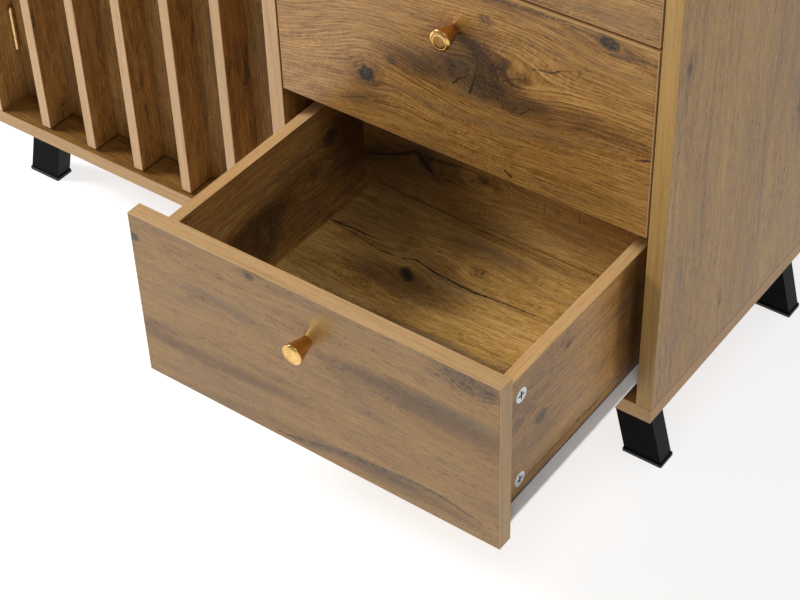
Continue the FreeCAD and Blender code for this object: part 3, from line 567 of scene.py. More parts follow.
def scatter(node, thick, grain, seed, knots=3, splits=2, blots=3):
    """Knots, splits and stains for a board that needs no special ones."""
    rng = random.Random(seed)
    lo, hi = mm_box(node)
    other = 3 - thick - grain
    u0, u1, v0, v1 = lo[grain], hi[grain], lo[other], hi[other]
    out = []
    for i in range(knots):
        ku = u0 + (u1 - u0) * (i + rng.uniform(0.2, 0.8)) / knots
        kv = v0 + (v1 - v0) * rng.uniform(0.12, 0.88)
        r = rng.choice((3.2, 4.5, 6.0, 8.0))
        out.append(("knot", ku, kv, r, rng.uniform(1.15, 1.7), r * rng.uniform(1.8, 2.8), rng.uniform(0.6, 0.95)))
        if rng.random() < 0.6:
            out.append(("blot", ku + rng.uniform(-14, 14), kv + rng.uniform(-4, 4), r * 3.4, r * 1.3, rng.uniform(-12, 12), 0.5))
    for i in range(splits):
        a = u0 + (u1 - u0) * rng.uniform(0.1, 0.75)
        b = v0 + (v1 - v0) * rng.uniform(0.15, 0.85)
        ln = rng.uniform(18, 55)
        out.append(("split", [(a, b), (a + ln * 0.45, b + rng.uniform(-3, 3)), (a + ln, b + rng.uniform(-5, 5))], 0.5, 0.8))
    for i in range(blots):
        a = u0 + (u1 - u0) * rng.uniform(0.05, 0.95)
        b = v0 + (v1 - v0) * rng.uniform(0.1, 0.9)
        out.append(("blot", a, b, rng.uniform(18, 55), rng.uniform(3, 8), rng.uniform(-5, 5), rng.uniform(0.3, 0.55)))
    return out


MID_FRONT = [
    ("bend", 150, -50, 36),
    ("cloud", 226, 403, 52, 36, -12, 0.9),
    ("cloud", 172, 389, 52, 17, 8, 0.8),
    ("cloud", 345, 391, 70, 12, -3, 0.6),
    ("cloud", 278, 384, 40, 14, 4, 0.7),
    ("cloud", 109, 352, 22, 15, 0, 0.5),
    ("cloud", 353, 474, 40, 9, -3, 0.5),
    ("cloud", 106, 326, 30, 9, 12, 0.45),
    ("cloud", 250, 476, 50, 7, 0, 0.4),
    ("knot", 109, 353, 8.4, 1.08, 17, 1.0),
    ("knot", 268, 418, 0.0, 1.4, 27, 0.0),
    ("knot", 224, 398, 0.0, 1.3, 22, 0.55),
    ("knot", 353, 476, 5.0, 1.9, 11, 0.95),
    ("blot", 137, 379, 8.5, 6, 0, 0.80),
    ("blot", 223, 425, 19, 9.5, -10, 1.0),
    ("blot", 209, 433, 10, 6, -40, 0.8),
    ("blot", 201, 394, 8, 13, 15, 1.0),
    ("blot", 248, 389, 10, 14, 25, 1.0),
    ("blot", 234, 387, 18, 12, -20, 0.95),
    ("blot", 245, 410, 10, 13, -25, 0.9),
    ("blot", 222, 404, 32, 26, -15, 0.62),
    ("blot", 236, 420, 15, 9, -30, 0.8),
    ("blot", 262, 378, 14, 8, 10, 0.85),
    ("blot", 181, 386, 36, 11, 6, 0.62),
    ("blot", 166, 384, 20, 7, 10, 0.30),
    ("blot", 204, 410, 14, 9, 0, 0.45),
    ("blot", 274, 385, 32, 8, 12, 0.65),
    ("blot", 262, 402, 16, 6, 20, 0.4),
    ("blot", 236, 455, 9, 5, -6, 0.82),
    ("blot", 352, 476, 13, 6.5, -12, 0.9),
    ("blot", 103, 343, 12, 5, 30, 0.35),
    ("blot", 101, 325, 18, 5, 20, 0.35),
    ("blot", 120, 364, 9, 7, -30, 0.4),
    ("streak", [(240, 479, 1.6), (262, 479, 1.3), (292, 480, 0.9), (320, 479, 0.8), (346, 477, 0.9)], 1.8, 0.9),
    ("streak", [(354, 467, 0.6), (372, 469.5, 1.1), (398, 471, 1.2)], 1.9, 0.7),
    ("streak", [(366, 475, 1), (373, 474.5, 0.6)], 1.2, 0.7),
    ("streak", [(383, 475.5, 0.6), (388, 475, 1)], 1.0, 0.6),
    ("streak", [(254, 437, 0.5), (264, 441), (276, 442), (288, 439), (298, 433, 0.5)], 0.75, 0.5),
    ("streak", [(256, 453.5, 0.5), (272, 452.5), (287, 449), (304, 446, 1.3)], 0.8, 0.45),
    ("streak", [(20, 344, 0.4), (60, 351), (97, 362, 1.4)], 0.8, 0.35),
    ("streak", [(150, 372), (200, 371), (260, 373), (320, 373, 0.4)], 1.6, 0.35),
    ("split", [(227, 418, 0.35), (226.5, 402, 0.5), (224, 390, 0.9), (219.5, 376, 1.3)], 0.8, 0.95),
    ("split", [(202.5, 380, 1.5), (209, 387, 1.0), (221, 395, 0.5)], 0.65, 0.9),
    ("split", [(226, 396, 1.1), (236, 399.5, 1.0), (243, 397, 0.8), (249, 392, 0.6)], 0.6, 0.9),
    ("split", [(251, 400, 0.9), (262, 407, 0.7), (275, 412, 0.5), (289, 414, 0.3)], 0.6, 0.75),
    ("split", [(80, 317, 0.9), (94, 322, 0.9), (107, 328, 0.3)], 0.7, 0.75),
    ("split", [(277, 423.5, 0.3), (290, 426.5, 0.9), (301, 428, 1.5), (308, 432.5, 0.7), (319, 436, 0.3)], 0.75, 0.8),
    ("split", [(271.5, 375, 1.3), (278, 381, 0.7), (283, 386, 0.4)], 0.7, 0.85),
    ("split", [(384, 375, 0.6), (398, 379, 1.4)], 0.9, 0.85),
    ("split", [(256, 309, 0.6), (263, 304.5, 1.3)], 1.1, 0.9),
]
LOW_FRONT = [
    ("knot", 145, 288, 3.0, 1.3, 9, 0.72),
    ("knot", 13, 270, 5.0, 1.2, 12, 0.7),
    ("knot", 366, 282, 0.0, 1.8, 15, 0.35),
    ("knot", 90, 235, 0.0, 1.6, 7, 0.3),
    ("blot", 145, 287.5, 6, 5, 0, 0.5),
    ("blot", 364, 282, 8, 4, -8, 0.95),
    ("blot", 350, 289, 10, 4, 0, 0.6),
    ("blot", 387, 286, 8, 8, -20, 0.85),
    ("blot", 366, 287, 32, 9, -4, 0.45),
    ("streak", [(353, 281, 0.5), (358, 277), (368, 275.5), (376, 279, 0.8)], 1.15, 0.95),
    ("streak", [(378, 289, 0.8), (379, 282), (376, 278, 0.6)], 1.0, 0.9),
    ("streak", [(334, 292, 0.4), (345, 288), (354, 283, 0.6)], 1.2, 0.85),
    ("streak", [(330, 281, 0.3), (344, 279), (356, 273, 0.5)], 1.0, 0.75),
    ("streak", [(376, 272, 0.4), (388, 276), (397, 280, 0.8)], 1.1, 0.8),
    ("blot", 90, 235, 6, 3, 0, 0.5),
    ("streak", [(355, 290, 0.6), (365, 293), (378, 289, 0.7)], 1.2, 0.95),
    ("streak", [(351, 284, 1.2), (351, 266, 0.4)], 0.9, 0.6),
    ("streak", [(382, 279, 1.2), (382, 269, 0.5)], 0.8, 0.55),
    ("streak", [(160, 115, 0.3), (180, 117), (200, 122), (240, 132), (280, 135), (300, 138.5), (340, 138.5), (380, 131, 0.4)], 2.6, 0.95),
    ("streak", [(190, 119, 0.5), (230, 127), (262, 131, 0.7)], 1.8, 0.85),
    ("streak", [(262, 130, 0.6), (290, 133), (316, 132, 0.5)], 1.6, 0.8),
    ("blot", 205, 121, 22, 5, 12, 0.5),
    ("blot", 292, 131, 34, 5, 4, 0.45),
    ("streak", [(243, 238, 0.4), (300, 239, 1.1), (350, 237, 1.0), (397, 234, 0.8)], 11.0, 0.40),
    ("streak", [(300, 132), (398, 120)], 5.0, 0.25),
    ("cloud", 320, 232, 90, 13, -3, 0.55),
    ("cloud", 355, 225, 60, 9, -4, 0.35),
    ("cloud", 100, 163, 95, 9, 3, 0.5),
    ("cloud", 20, 172, 40, 8, 6, 0.35),
    ("cloud", 160, 122, 90, 9, 4, 0.5),
    ("cloud", 300, 127, 76, 10, 0, 0.62),
    ("cloud", 90, 238, 60, 7, 0, 0.22),
    ("cloud", 190, 262, 60, 5, 0, 0.20),
    ("cloud", 368, 284, 34, 12, 0, 0.45),
    ("streak", [(10, 296), (120, 297), (240, 297), (398, 295)], 1.6, 0.30),
    ("streak", [(10, 165), (80, 152), (160, 163)], 8.0, 0.20),
    ("streak", [(160, 253), (190, 251)], 1.4, 0.4),
]
UP_FRONT = [
    ("knot", 120, 610, 5.5, 1.3, 16, 0.85),
    ("knot", 262, 560, 7.0, 1.3, 22, 0.9),
    ("knot", 330, 618, 0.0, 1.6, 14, 0.4),
    ("blot", 262, 560, 24, 10, 8, 0.55),
    ("blot", 120, 612, 15, 7, -5, 0.5),
    ("streak", [(240, 500), (300, 497), (398, 505)], 3.5, 0.30),
    ("streak", [(20, 540), (90, 545), (170, 538)], 3.0, 0.5),
    ("split", [(246, 566), (262, 560), (284, 551)], 0.6, 0.9),
    ("split", [(60, 632), (92, 636)], 0.45, 0.7),
    ("split", [(340, 530), (372, 534)], 0.45, 0.7),
]
LOW_BOTTOM = [
    # painted shade: these clouds darken the left and the rear of the bottom, where the drawer's left side and the
    # middle front shade it
    ("cloud", 66, -2, 74, 34, 0, 0.75),
    ("cloud", 130, -34, 84, 20, 0, 0.5),
    ("cloud", 160, 10, 90, 22, 0, 0.4),
    ("cloud", 150, -64, 70, 20, 0, 1.0),
    ("cloud", 230, -118, 130, 9, 0, 0.45),
    ("knot", 146, -54, 0.0, 1.25, 15, 0.35),
    ("knot", 202, -13, 0.0, 1.3, 13, 0.30),
    ("knot", 113, -87, 0.0, 1.3, 9, 0.25),
    ("knot", 319, -98, 0.0, 1.3, 9, 0.35),
    ("split", [(140, -50, 1.4), (145, -54, 1.7), (150, -57.5, 1.5)], 3.2, 0.92),
    ("blot", 146, -54.5, 12, 7.0, -34, 0.6),
    ("streak", [(157, -58, 0.5), (162, -54), (163, -48, 0.5)], 0.9, 0.5),
    ("streak", [(152, -66, 0.5), (160, -62), (164, -56, 0.5)], 0.9, 0.45),
    ("streak", [(196, -10), (197, -16), (201, -19), (207, -18), (210, -13, 0.6)], 1.2, 0.75),
    ("streak", [(197, -10, 0.6), (202, -7.5), (208, -8.5, 0.6)], 0.9, 0.5),
    ("split", [(203, -10, 0.7), (204.5, -14.5, 0.9)], 1.1, 0.7),
    ("streak", [(190, -10, 0.4), (193, -17), (200, -23), (214, -24), (226, -21, 0.4)], 1.2, 0.5),
    ("blot", 198, -15, 9, 5, -30, 0.45),
    ("blot", 216, -19, 18, 3, 0, 0.4),
    ("blot", 240, -21, 8, 5, -40, 0.25),
    ("blot", 152, -9.5, 4, 2.2, 0, 0.5),
    ("blot", 120, -14, 10, 6, 0, 0.3),
    ("blot", 47, -91, 14, 2.2, 3, 0.4),
    ("blot", 275, -99, 8, 1.8, 0, 0.4),
    ("blot", 288, -103, 12, 1.6, -3, 0.5),
    ("blot", 285, -66, 12, 1.8, 3, 0.4),
    ("blot", 210, -116, 60, 6, 2, 0.30),
    ("blot", 290, -118, 50, 6, 0, 0.35),
    ("blot", 90, -34, 34, 4, -4, 0.35),
    ("blot", 190, -41, 45, 5, -2, 0.35),
    ("blot", 255, -38, 30, 4, 2, 0.40),
    ("blot", 120, -26, 7, 5, 20, 0.55),
    ("blot", 47, -29, 7, 4, 0, 0.5),
    ("streak", [(90, -97), (120, -99.5), (150, -98, 0.4)], 0.8, 0.45),
    ("streak", [(200, -48), (240, -47), (290, -50, 0.4)], 1.1, 0.3),
    ("streak", [(66, -68), (84, -70), (106, -76, 0.5)], 0.9, 0.35),
    ("split", [(33, -29, 1.2), (60, -28, 1.0), (83, -28, 0.8), (96, -27, 0.35)], 0.95, 0.95),
    ("split", [(90, -25, 0.3), (103, -22, 0.6), (121, -20.5, 0.3)], 0.7, 0.7),
    ("split", [(50, -32, 0.3), (66, -34, 0.7), (84, -36.5, 0.5), (100, -40, 0.9), (109, -39, 1.7), (118, -38.5, 0.4)], 0.8, 0.9),
    ("split", [(126, -37.5, 0.5), (134, -34, 0.9), (141, -32, 1.0), (148, -33.5, 1.1), (160, -36, 1.2), (176, -37.5, 1.0), (193, -39, 1.2)], 0.9, 0.97),
    ("split", [(193, -39, 1.2), (212, -39.5, 1.3), (233, -37.5, 1.1), (254, -35.5, 0.9), (272, -35, 0.6), (289, -34, 0.3)], 0.9, 0.97),
]
LOW_LEFT = [
    ("cloud", -126, 184, 56, 36, 0, 1.0),
    # painted shade: the next three clouds darken the rear of the side, where the carcase shades it
    ("cloud", 6, 205, 50, 60, 0, 0.9),
    ("cloud", -60, 200, 70, 30, 0, 0.55),
    ("cloud", -50, 160, 60, 30, 0, 0.4),
    ("knot", -20, 230, 8.5, 1.05, 15, 1.0),
    ("knot", -125, 188, 0.0, 1.6, 28, 0.85),
    ("knot", 24, 200, 0.0, 1.5, 18, 0.7),
    ("knot", -47, 204, 0.0, 1.3, 12, 0.5),
    ("blot", -20, 230, 11, 10, 0, 0.9),
    ("blot", -165, 200, 30, 10, -8, 0.8),
    ("blot", -120, 200, 44, 12, -6, 0.85),
    ("blot", -113, 182, 13, 22, 10, 0.85),
    ("blot", -137, 180, 12, 26, -10, 0.8),
    ("blot", -130, 158, 20, 14, 0, 0.8),
    ("blot", -160, 184, 18, 14, 0, 0.6),
    ("blot", -92, 208, 24, 9, 0, 0.6),
    ("blot", -47, 204, 12, 7, 0, 0.75),
    ("blot", 5, 236, 22, 12, -10, 0.7),
    ("blot", 10, 216, 34, 22, 0, 0.5),
    ("blot", 20, 180, 24, 12, 0, 0.45),
    ("blot", -30, 140, 14, 4, 0, 0.6),
    ("streak", [(-200, 208, 0.5), (-150, 206), (-100, 208), (-40, 214), (10, 212, 0.6)], 3.5, 0.5),
    ("streak", [(-180, 234, 0.5), (-140, 232), (-60, 230), (-30, 226, 0.6)], 1.6, 0.4),
    ("split", [(-133, 204, 0.6), (-137, 186, 1.0), (-139, 170, 0.4)], 0.9, 0.85),
    ("split", [(-114, 196, 0.5), (-117, 180, 1.0), (-116, 168, 0.4)], 0.9, 0.8),
]
LOW_BACK = [
    # painted shade: these clouds darken the back towards the left, where the middle drawer shades it
    ("cloud", 80, 190, 84, 34, 8, 0.8),
    ("cloud", 60, 160, 60, 26, 0, 0.45),
    ("cloud", 150, 160, 60, 18, 0, 0.35),
    ("knot", 107, 200, 0.0, 1.6, 24, 0.9),
    ("knot", 176, 204, 2.2, 1.4, 13, 0.75),
    ("blot", 107, 202, 12, 13, 0, 1.0),
    ("blot", 97, 207, 16, 6, 20, 0.9),
    ("blot", 85, 205, 28, 8, 22, 0.6),
    ("blot", 60, 190, 34, 12, 18, 0.7),
    ("blot", 40, 178, 26, 8, 12, 0.7),
    ("blot", 100, 190, 60, 16, 8, 0.35),
    ("blot", 135, 208, 18, 3.5, 8, 0.75),
    ("blot", 172, 202, 12, 5, 30, 0.4),
    ("blot", 258, 204, 4, 2.5, 0, 0.6),
    ("blot", 270, 180, 26, 3, -8, 0.35),
    ("streak", [(33, 178, 1.2), (56, 188, 1.2), (82, 198), (96, 206, 1.3)], 3.0, 0.9),
    ("streak", [(112, 205, 1.2), (130, 207), (150, 211, 0.4)], 1.8, 0.85),
    ("streak", [(148, 194, 0.3), (160, 199), (172, 203, 1.2)], 1.1, 0.6),
    ("streak", [(180, 186, 0.5), (205, 192), (235, 196, 0.4)], 1.0, 0.3),
    ("split", [(33, 178, 0.8), (56, 187, 1.0), (78, 196, 1.2), (90, 203, 1.6), (100, 207, 1.4)], 1.3, 0.95),
    ("split", [(97, 206, 1.0), (104, 198, 1.9), (110, 192, 1.5), (116, 187, 0.5)], 2.1, 1.0),
    ("split", [(110, 204, 1.2), (130, 207, 0.7), (150, 211, 0.3)], 1.0, 0.9),
    ("split", [(243, 210, 0.6), (243, 196, 1.0)], 0.45, 0.6),
    ("split", [(235, 206, 0.6), (235, 200, 1.0)], 0.6, 0.5),
    ("split", [(281, 213, 0.6), (281.5, 202, 1.0)], 0.5, 0.75),
    ("split", [(206, 183, 0.6), (207, 176, 1.0)], 0.5, 0.4),
    ("split", [(214, 156, 0.6), (222, 154.5, 1.0)], 0.6, 0.5),
]
LOW_RIGHT = [
    # painted shade: this cloud and the blot below darken the side where it goes into the carcase
    ("cloud", -58, 200, 19, 90, 0, 1.0),
    ("blot", -46, 200, 7, 90, 0, 0.55),
    ("knot", -196, 197, 0.0, 1.2, 17, 0.6),
    ("knot", -156, 249, 3.0, 1.2, 9, 0.6),
    ("knot", -228, 220, 0.0, 1.3, 14, 0.5),
    ("blot", -196, 198, 9, 6, -10, 1.0),
    ("streak", [(-203, 203, 0.6), (-196, 205.5), (-189, 202), (-184, 196, 0.6)], 1.2, 0.9),
    ("streak", [(-201, 193), (-194, 191.5), (-188, 193, 0.6)], 1.1, 0.8),
    ("blot", -231, 218, 9, 7, 0, 0.62),
    ("blot", -213, 222, 12, 8, -30, 0.55),
    ("blot", -238, 238, 12, 9, 0, 0.5),
    ("blot", -204, 228, 26, 6, -10, 0.45),
    ("blot", -222, 232, 12, 5, 0, 0.5),
    ("blot", -156, 252, 9, 4, 0, 0.4),
    ("blot", -172, 190, 6, 2, 0, 0.55),
    ("blot", -122, 231, 20, 2.2, 3, 0.5),
    ("blot", -60, 189, 5, 2.5, 0, 0.55),
    ("blot", -112, 141, 16, 2.4, 0, 0.6),
    ("blot", -70, 226, 24, 6, 0, 0.35),
    ("blot", -66, 244, 26, 5, 2, 0.45),
    ("blot", -205, 180, 50, 14, 0, 0.25),
    # painted shadow: a dark line along the side's lower edge, just above the runner
    ("split", [(-254, 132.2), (-20, 132.2)], 1.2, 0.9),
    ("streak", [(-246, 246, 0.7), (-205, 244.5, 1.3), (-180, 240)], 2.0, 0.55),
    ("streak", [(-180, 227, 0.8), (-150, 230), (-120, 231, 0.8)], 1.6, 0.4),
    ("streak", [(-100, 214, 0.6), (-60, 216)], 1.8, 0.35),
    ("streak", [(-120, 247, 0.6), (-60, 246)], 1.6, 0.3),
]
SIDE_RIGHT = [
    ("knot", 466, -38, 3.6, 1.7, 12, 0.8),
    ("knot", 600, 96, 6.0, 1.5, 17, 0.85),
    ("knot", 300, 190, 6.5, 1.5, 20, 0.85),
    ("knot", 160, 60, 0.0, 1.6, 12, 0.4),
    ("blot", 440, -40, 24, 4, 0, 0.45),
    ("blot", 300, 190, 40, 9, 3, 0.45),
    ("streak", [(120, -48), (240, -49), (330, -46), (420, -48)], 2.2, 0.32),
    ("streak", [(180, 20), (260, 12), (360, 4), (470, 8)], 3.2, 0.28),
    ("streak", [(110, 130), (300, 120), (520, 136)], 6.0, 0.3),
    ("split", [(280, 186), (322, 193)], 0.5, 0.8),
    ("split", [(520, 220), (560, 226), (590, 224)], 0.5, 0.8),
]

BOARDS = {
    # node: thickness axis, grain axis, features (None: scattered), side of them, tone, warm, warp, contrast
    "drawer_middle_front": (Y, X, MID_FRONT, -1, 0.03, 0.25, (6.5, 1.6), 1.0),
    "drawer_lower_front": (Y, X, LOW_FRONT, -1, 0.02, 0.0, (7.0, 2.0), 0.62),
    "drawer_upper_front": (Y, X, UP_FRONT, -1, 0.0, 0.1, (12.0, 2.5), 0.9),
    "drawer_lower_bottom": (Z, X, LOW_BOTTOM, 1, 0.0, 0.0, (9.0, 2.5), 1.0),
    "drawer_lower_side_left": (X, Y, LOW_LEFT, 1, -0.04, 0.0, (14.0, 3.0), 1.0),
    "drawer_lower_side_right": (X, Y, LOW_RIGHT, 1, 0.0, 0.0, (9.0, 2.5), 0.9),
    "drawer_lower_back": (Y, X, LOW_BACK, -1, -0.03, 0.0, (14.0, 3.0), 1.0),
    "side_panel_right": (X, Z, SIDE_RIGHT, 1, 0.02, 0.0, (10.0, 2.5), 0.8),
    "side_panel_left": (X, Z, None, -1, 0.0, 0.0, (12.0, 2.5), 0.9),
    "divider": (X, Z, None, 0, 0.0, 0.2, (12.0, 2.5), 0.9),
    "top_board": (Z, X, None, 1, 0.03, 0.1, (16.0, 3.0), 0.95),
    "bottom_board": (Z, X, None, 1, 0.0, 0.3, (9.0, 2.5), 0.9),
    "shelf": (Z, X, None, 1, 0.0, 0.3, (12.0, 2.5), 0.9),
    "door_panel": (Y, Z, None, -1, -0.05, 0.2, (12.0, 3.0), 1.0),
    "back_panel": (Y, Z, None, -1, 0.0, 0.2, (14.0, 3.0), 0.9),
    "drawer_middle_side_left": (X, Y, None, 1, 0.0, 0.4, (12.0, 3.0), 1.0),
    "drawer_middle_side_right": (X, Y, None, 1, 0.0, 0.2, (12.0, 3.0), 1.0),
    "drawer_middle_back": (Y, X, None, -1, 0.0, 0.5, (12.0, 3.0), 1.0),
    "drawer_middle_bottom": (Z, X, None, 1, 0.0, 0.4, (12.0, 3.0), 1.0),
    "drawer_upper_side_left": (X, Y, None, 1, 0.0, 0.4, (12.0, 3.0), 1.0),
    "drawer_upper_side_right": (X, Y, None, 1, 0.0, 0.2, (12.0, 3.0), 1.0),
    "drawer_upper_back": (Y, X, None, -1, 0.0, 0.5, (12.0, 3.0), 1.0),
    "drawer_upper_bottom": (Z, X, None, 1, 0.0, 0.4, (12.0, 3.0), 1.0),
}
# painted light and shade: how much lighter each board's face, long edges and ends are made beside the others, for the
# light, shade and sheen on them
GAINS = {
    "drawer_middle_front": ((20, 1.20, 190, 1.06), 1.0, 1.0),
    "drawer_lower_front": (0.75, (1.09, 1.14, 1.30), (0.70, 0.63, 0.39)),
    "drawer_lower_bottom": ((70, 1.44, 300, 1.62), 1.0, 1.0),
    "drawer_lower_side_left": ((-200, 1.26, -40, 1.17), (1.18, 1.11, 0.98), 1.0),
    "drawer_lower_side_right": ((-200, 0.91, -110, 1.24), (1.26, 1.31, 1.38), 1.0),
    "drawer_lower_back": ((110, 1.52, 250, 1.70), 1.0, 1.0),
    "side_panel_right": (0.97, (190, 0.62, 380, 0.81), 0.90),
    "bottom_board": (0.67, (-20, 0.78, 360, 0.67), (0.72, 0.60, 0.28)),
    "door_panel": (0.79, 1.0, 1.0),
}
# painted light colour: each board's hue beside the others, shifted for the light, bounce and sheen on it
TINTS = {
    "drawer_middle_front": (1.0, 1.0, 0.90),
    "drawer_lower_front": (1.0, 0.995, 0.905),
    "drawer_lower_bottom": (0.98, 1.07, 1.08),
    "drawer_lower_side_left": (1.0, 1.08, 1.18),
    "drawer_lower_side_right": (1.0, 0.97, 0.88),
    "drawer_lower_back": (0.95, 1.12, 1.28),
    "side_panel_right": (1.0, 0.985, 0.71),
    "bottom_board": (1.0, 0.97, 0.84),
    "door_panel": (1.0, 1.0, 0.90),
}
RINGS = {"drawer_middle_front": 1.05, "drawer_lower_front": 0.32, "drawer_lower_bottom": 0.45}
GLOSS = {"side_panel_right": 0.26, "drawer_lower_side_right": 0.26, "bottom_board": 0.35}
COUNTS = {"top_board": (6, 4, 7), "bottom_board": (5, 3, 6), "side_panel_left": (4, 3, 5), "divider": (4, 2, 4),
          "door_panel": (6, 3, 8), "back_panel": (5, 3, 5), "shelf": (3, 2, 4)}


def dress(node, mat):
    """Gives a CAD node one material."""
    me = NODES[node].data
    me.materials.clear()
    me.materials.append(mat)


def soften(node, width, segments=2, angle=38):
    """Rounds a sharp edge as a tool or an edge band leaves it, with modifiers only."""
    o = NODES[node]
    g = o.modifiers.new("weld_faces", "NODES")
    g.node_group = WELD
    b = o.modifiers.new("edge_round", "BEVEL")
    b.width = width
    b.segments = segments
    b.limit_method = "ANGLE"
    b.angle_limit = math.radians(angle)
    b.use_clamp_overlap = False
    b.miter_outer = "MITER_ARC"


def weld_group():
    """Joins the faces of a node along their edges, drops their stored normals and shades them flat."""
    t = bpy.data.node_groups.new("weld_faces", "GeometryNodeTree")
    t.interface.new_socket("Geometry", in_out="INPUT", socket_type="NodeSocketGeometry")
    t.interface.new_socket("Geometry", in_out="OUTPUT", socket_type="NodeSocketGeometry")
    i, o = t.nodes.new("NodeGroupInput"), t.nodes.new("NodeGroupOutput")
    r = t.nodes.new("GeometryNodeRemoveAttribute")
    r.inputs["Name"].default_value = "custom_normal"
    w = t.nodes.new("GeometryNodeMergeByDistance")
    w.inputs["Distance"].default_value = 0.000002
    s = t.nodes.new("GeometryNodeSetShadeSmooth")
    s.inputs["Shade Smooth"].default_value = False
    t.links.new(i.outputs[0], r.inputs["Geometry"])
    t.links.new(r.outputs[0], w.inputs["Geometry"])
    t.links.new(w.outputs[0], s.inputs["Geometry"])
    t.links.new(s.outputs[0], o.inputs[0])
    return t


WELD = weld_group()

for node, (thick, grain, feats, side, tone, warm, warp, contrast) in BOARDS.items():
    seed = zlib.crc32(node.encode()) % 997 / 7.0
    if feats is None:
        k, s, b = COUNTS.get(node, (3, 2, 3))
        feats = scatter(node, thick, grain, zlib.crc32(node.encode()) % 9973, k, s, b)
    thin = node.endswith("_bottom") or node == "back_panel"
    mat = oak("oak_" + node, thick, grain, mm_box(node), feats, seed, tone, warm, warp, contrast, side,
              border=not thin, raw_side=1 if node == "back_panel" else 0, gains=GAINS.get(node, (1.0, 1.0, 1.0)), tint=TINTS.get(node),
              rings=RINGS.get(node, 0.7), gloss=GLOSS.get(node, 0.5))
    dress(node, mat)
    if not thin:
        soften(node, 0.00045, 2)


def slats_oak():
    """The five slats share one node: each one's grain comes from its own place."""
    mat, net, sh = material("oak_door_slats")
    p, nrm = where(net)
    px, nx = net.split(p), net.split(nrm)
    idx = net.m("FLOOR", net.m("DIVIDE", net.add(px[0], 397.0), 66.3333))
    w = net.mul(idx, 17.3)
    main = net.m("GREATER_THAN", net.m("ABSOLUTE", nx[0]), 0.7)
    w2 = net.mad(net.m("GREATER_THAN", nx[0], 0.0), 31.0, w)
    u, v = px[2], px[1]
    wan = use(net, WANDER, U=u, V=v, Seed=w2, Wide=26.0, Small=5.0)
    knot = net.noise(net.xyz(net.mul(u, 0.020), net.mul(v, 0.07), net.add(w2, 13.0)), 1.0)
    dark = net.step(net.mad(net.sub(wan["Rag"], 0.5), 0.25, knot), 0.62, 0.76)
    g = use(net, GRAIN, U=u, V=v, Psi=wan["Psi"], Seed=w2, Rag=wan["Rag"], Smudge=net.mul(dark, 0.9), Tone=-0.06, Contrast=1.0, Warm=0.25)
    # painted light: the bands' gain of 0.91 and the faces' (0.92, 0.90, 0.80) shift set the slats' brightness and hue
    # for the light on them
    band_col = use(net, BANDS, Length=px[2], Across=px[0], Seed=w, Tone=0.02, Gain=0.91)["Color"]
    line = net.step(net.add(px[1], 52.0), 1.15, 0.7)
    col = net.mix(net.mul(line, 0.62), net.vec("MULTIPLY", g["Color"], (0.92, 0.90, 0.80)), band_col)
    col = net.mix(main, band_col, col)
    net.put(sh.inputs["Base Color"], col)
    net.put(sh.inputs["Roughness"], g["Roughness"])
    net.put(sh.inputs["Normal"], net.bump(g["Height"], 0.00006, 0.7))
    sh.inputs["Specular IOR Level"].default_value = 0.5
    return mat


dress("door_slats", slats_oak())
soften("door_slats", 0.00045, 2)

# ---- knobs: lathed, with a turned face ------------------------------------------------------------
KNOB_R_BASE, KNOB_R_FACE, KNOB_L = 5.4, 10.2, 22.0


def lathe(name, profile, centre, turns=96):
    """A closed turned piece. profile: (radius, distance out) from the axis at the back to the axis at the face."""
    bm = bmesh.new()
    rings = []
    for r, d in profile:
        if r < 1e-6:
            rings.append([bm.verts.new((centre[0], centre[1] - d / 1000, centre[2]))])
        else:
            ring = []
            for i in range(turns):
                a = 2 * math.pi * i / turns
                ring.append(bm.verts.new((centre[0] + r / 1000 * math.cos(a), centre[1] - d / 1000, centre[2] + r / 1000 * math.sin(a))))
            rings.append(ring)
    for a, b in zip(rings, rings[1:]):
        for i in range(turns):
            j = (i + 1) % turns
            if len(a) == 1:
                bm.faces.new((a[0], b[j], b[i]))
            elif len(b) == 1:
                bm.faces.new((a[i], a[j], b[0]))
            else:
                bm.faces.new((a[i], a[j], b[j], b[i]))
    bmesh.ops.recalc_face_normals(bm, faces=bm.faces)
    me = bpy.data.meshes.new(name)
    bm.to_mesh(me)
    bm.free()
    for f in me.polygons:
        f.use_smooth = True
    o = bpy.data.objects.new(name, me)
    bpy.context.scene.collection.objects.link(o)
    return o


def arc(cx, cy, r, a0, a1, n):
    return [(cx + r * math.cos(math.radians(a0 + (a1 - a0) * i / n)), cy + r * math.sin(math.radians(a0 + (a1 - a0) * i / n))) for i in range(n + 1)]


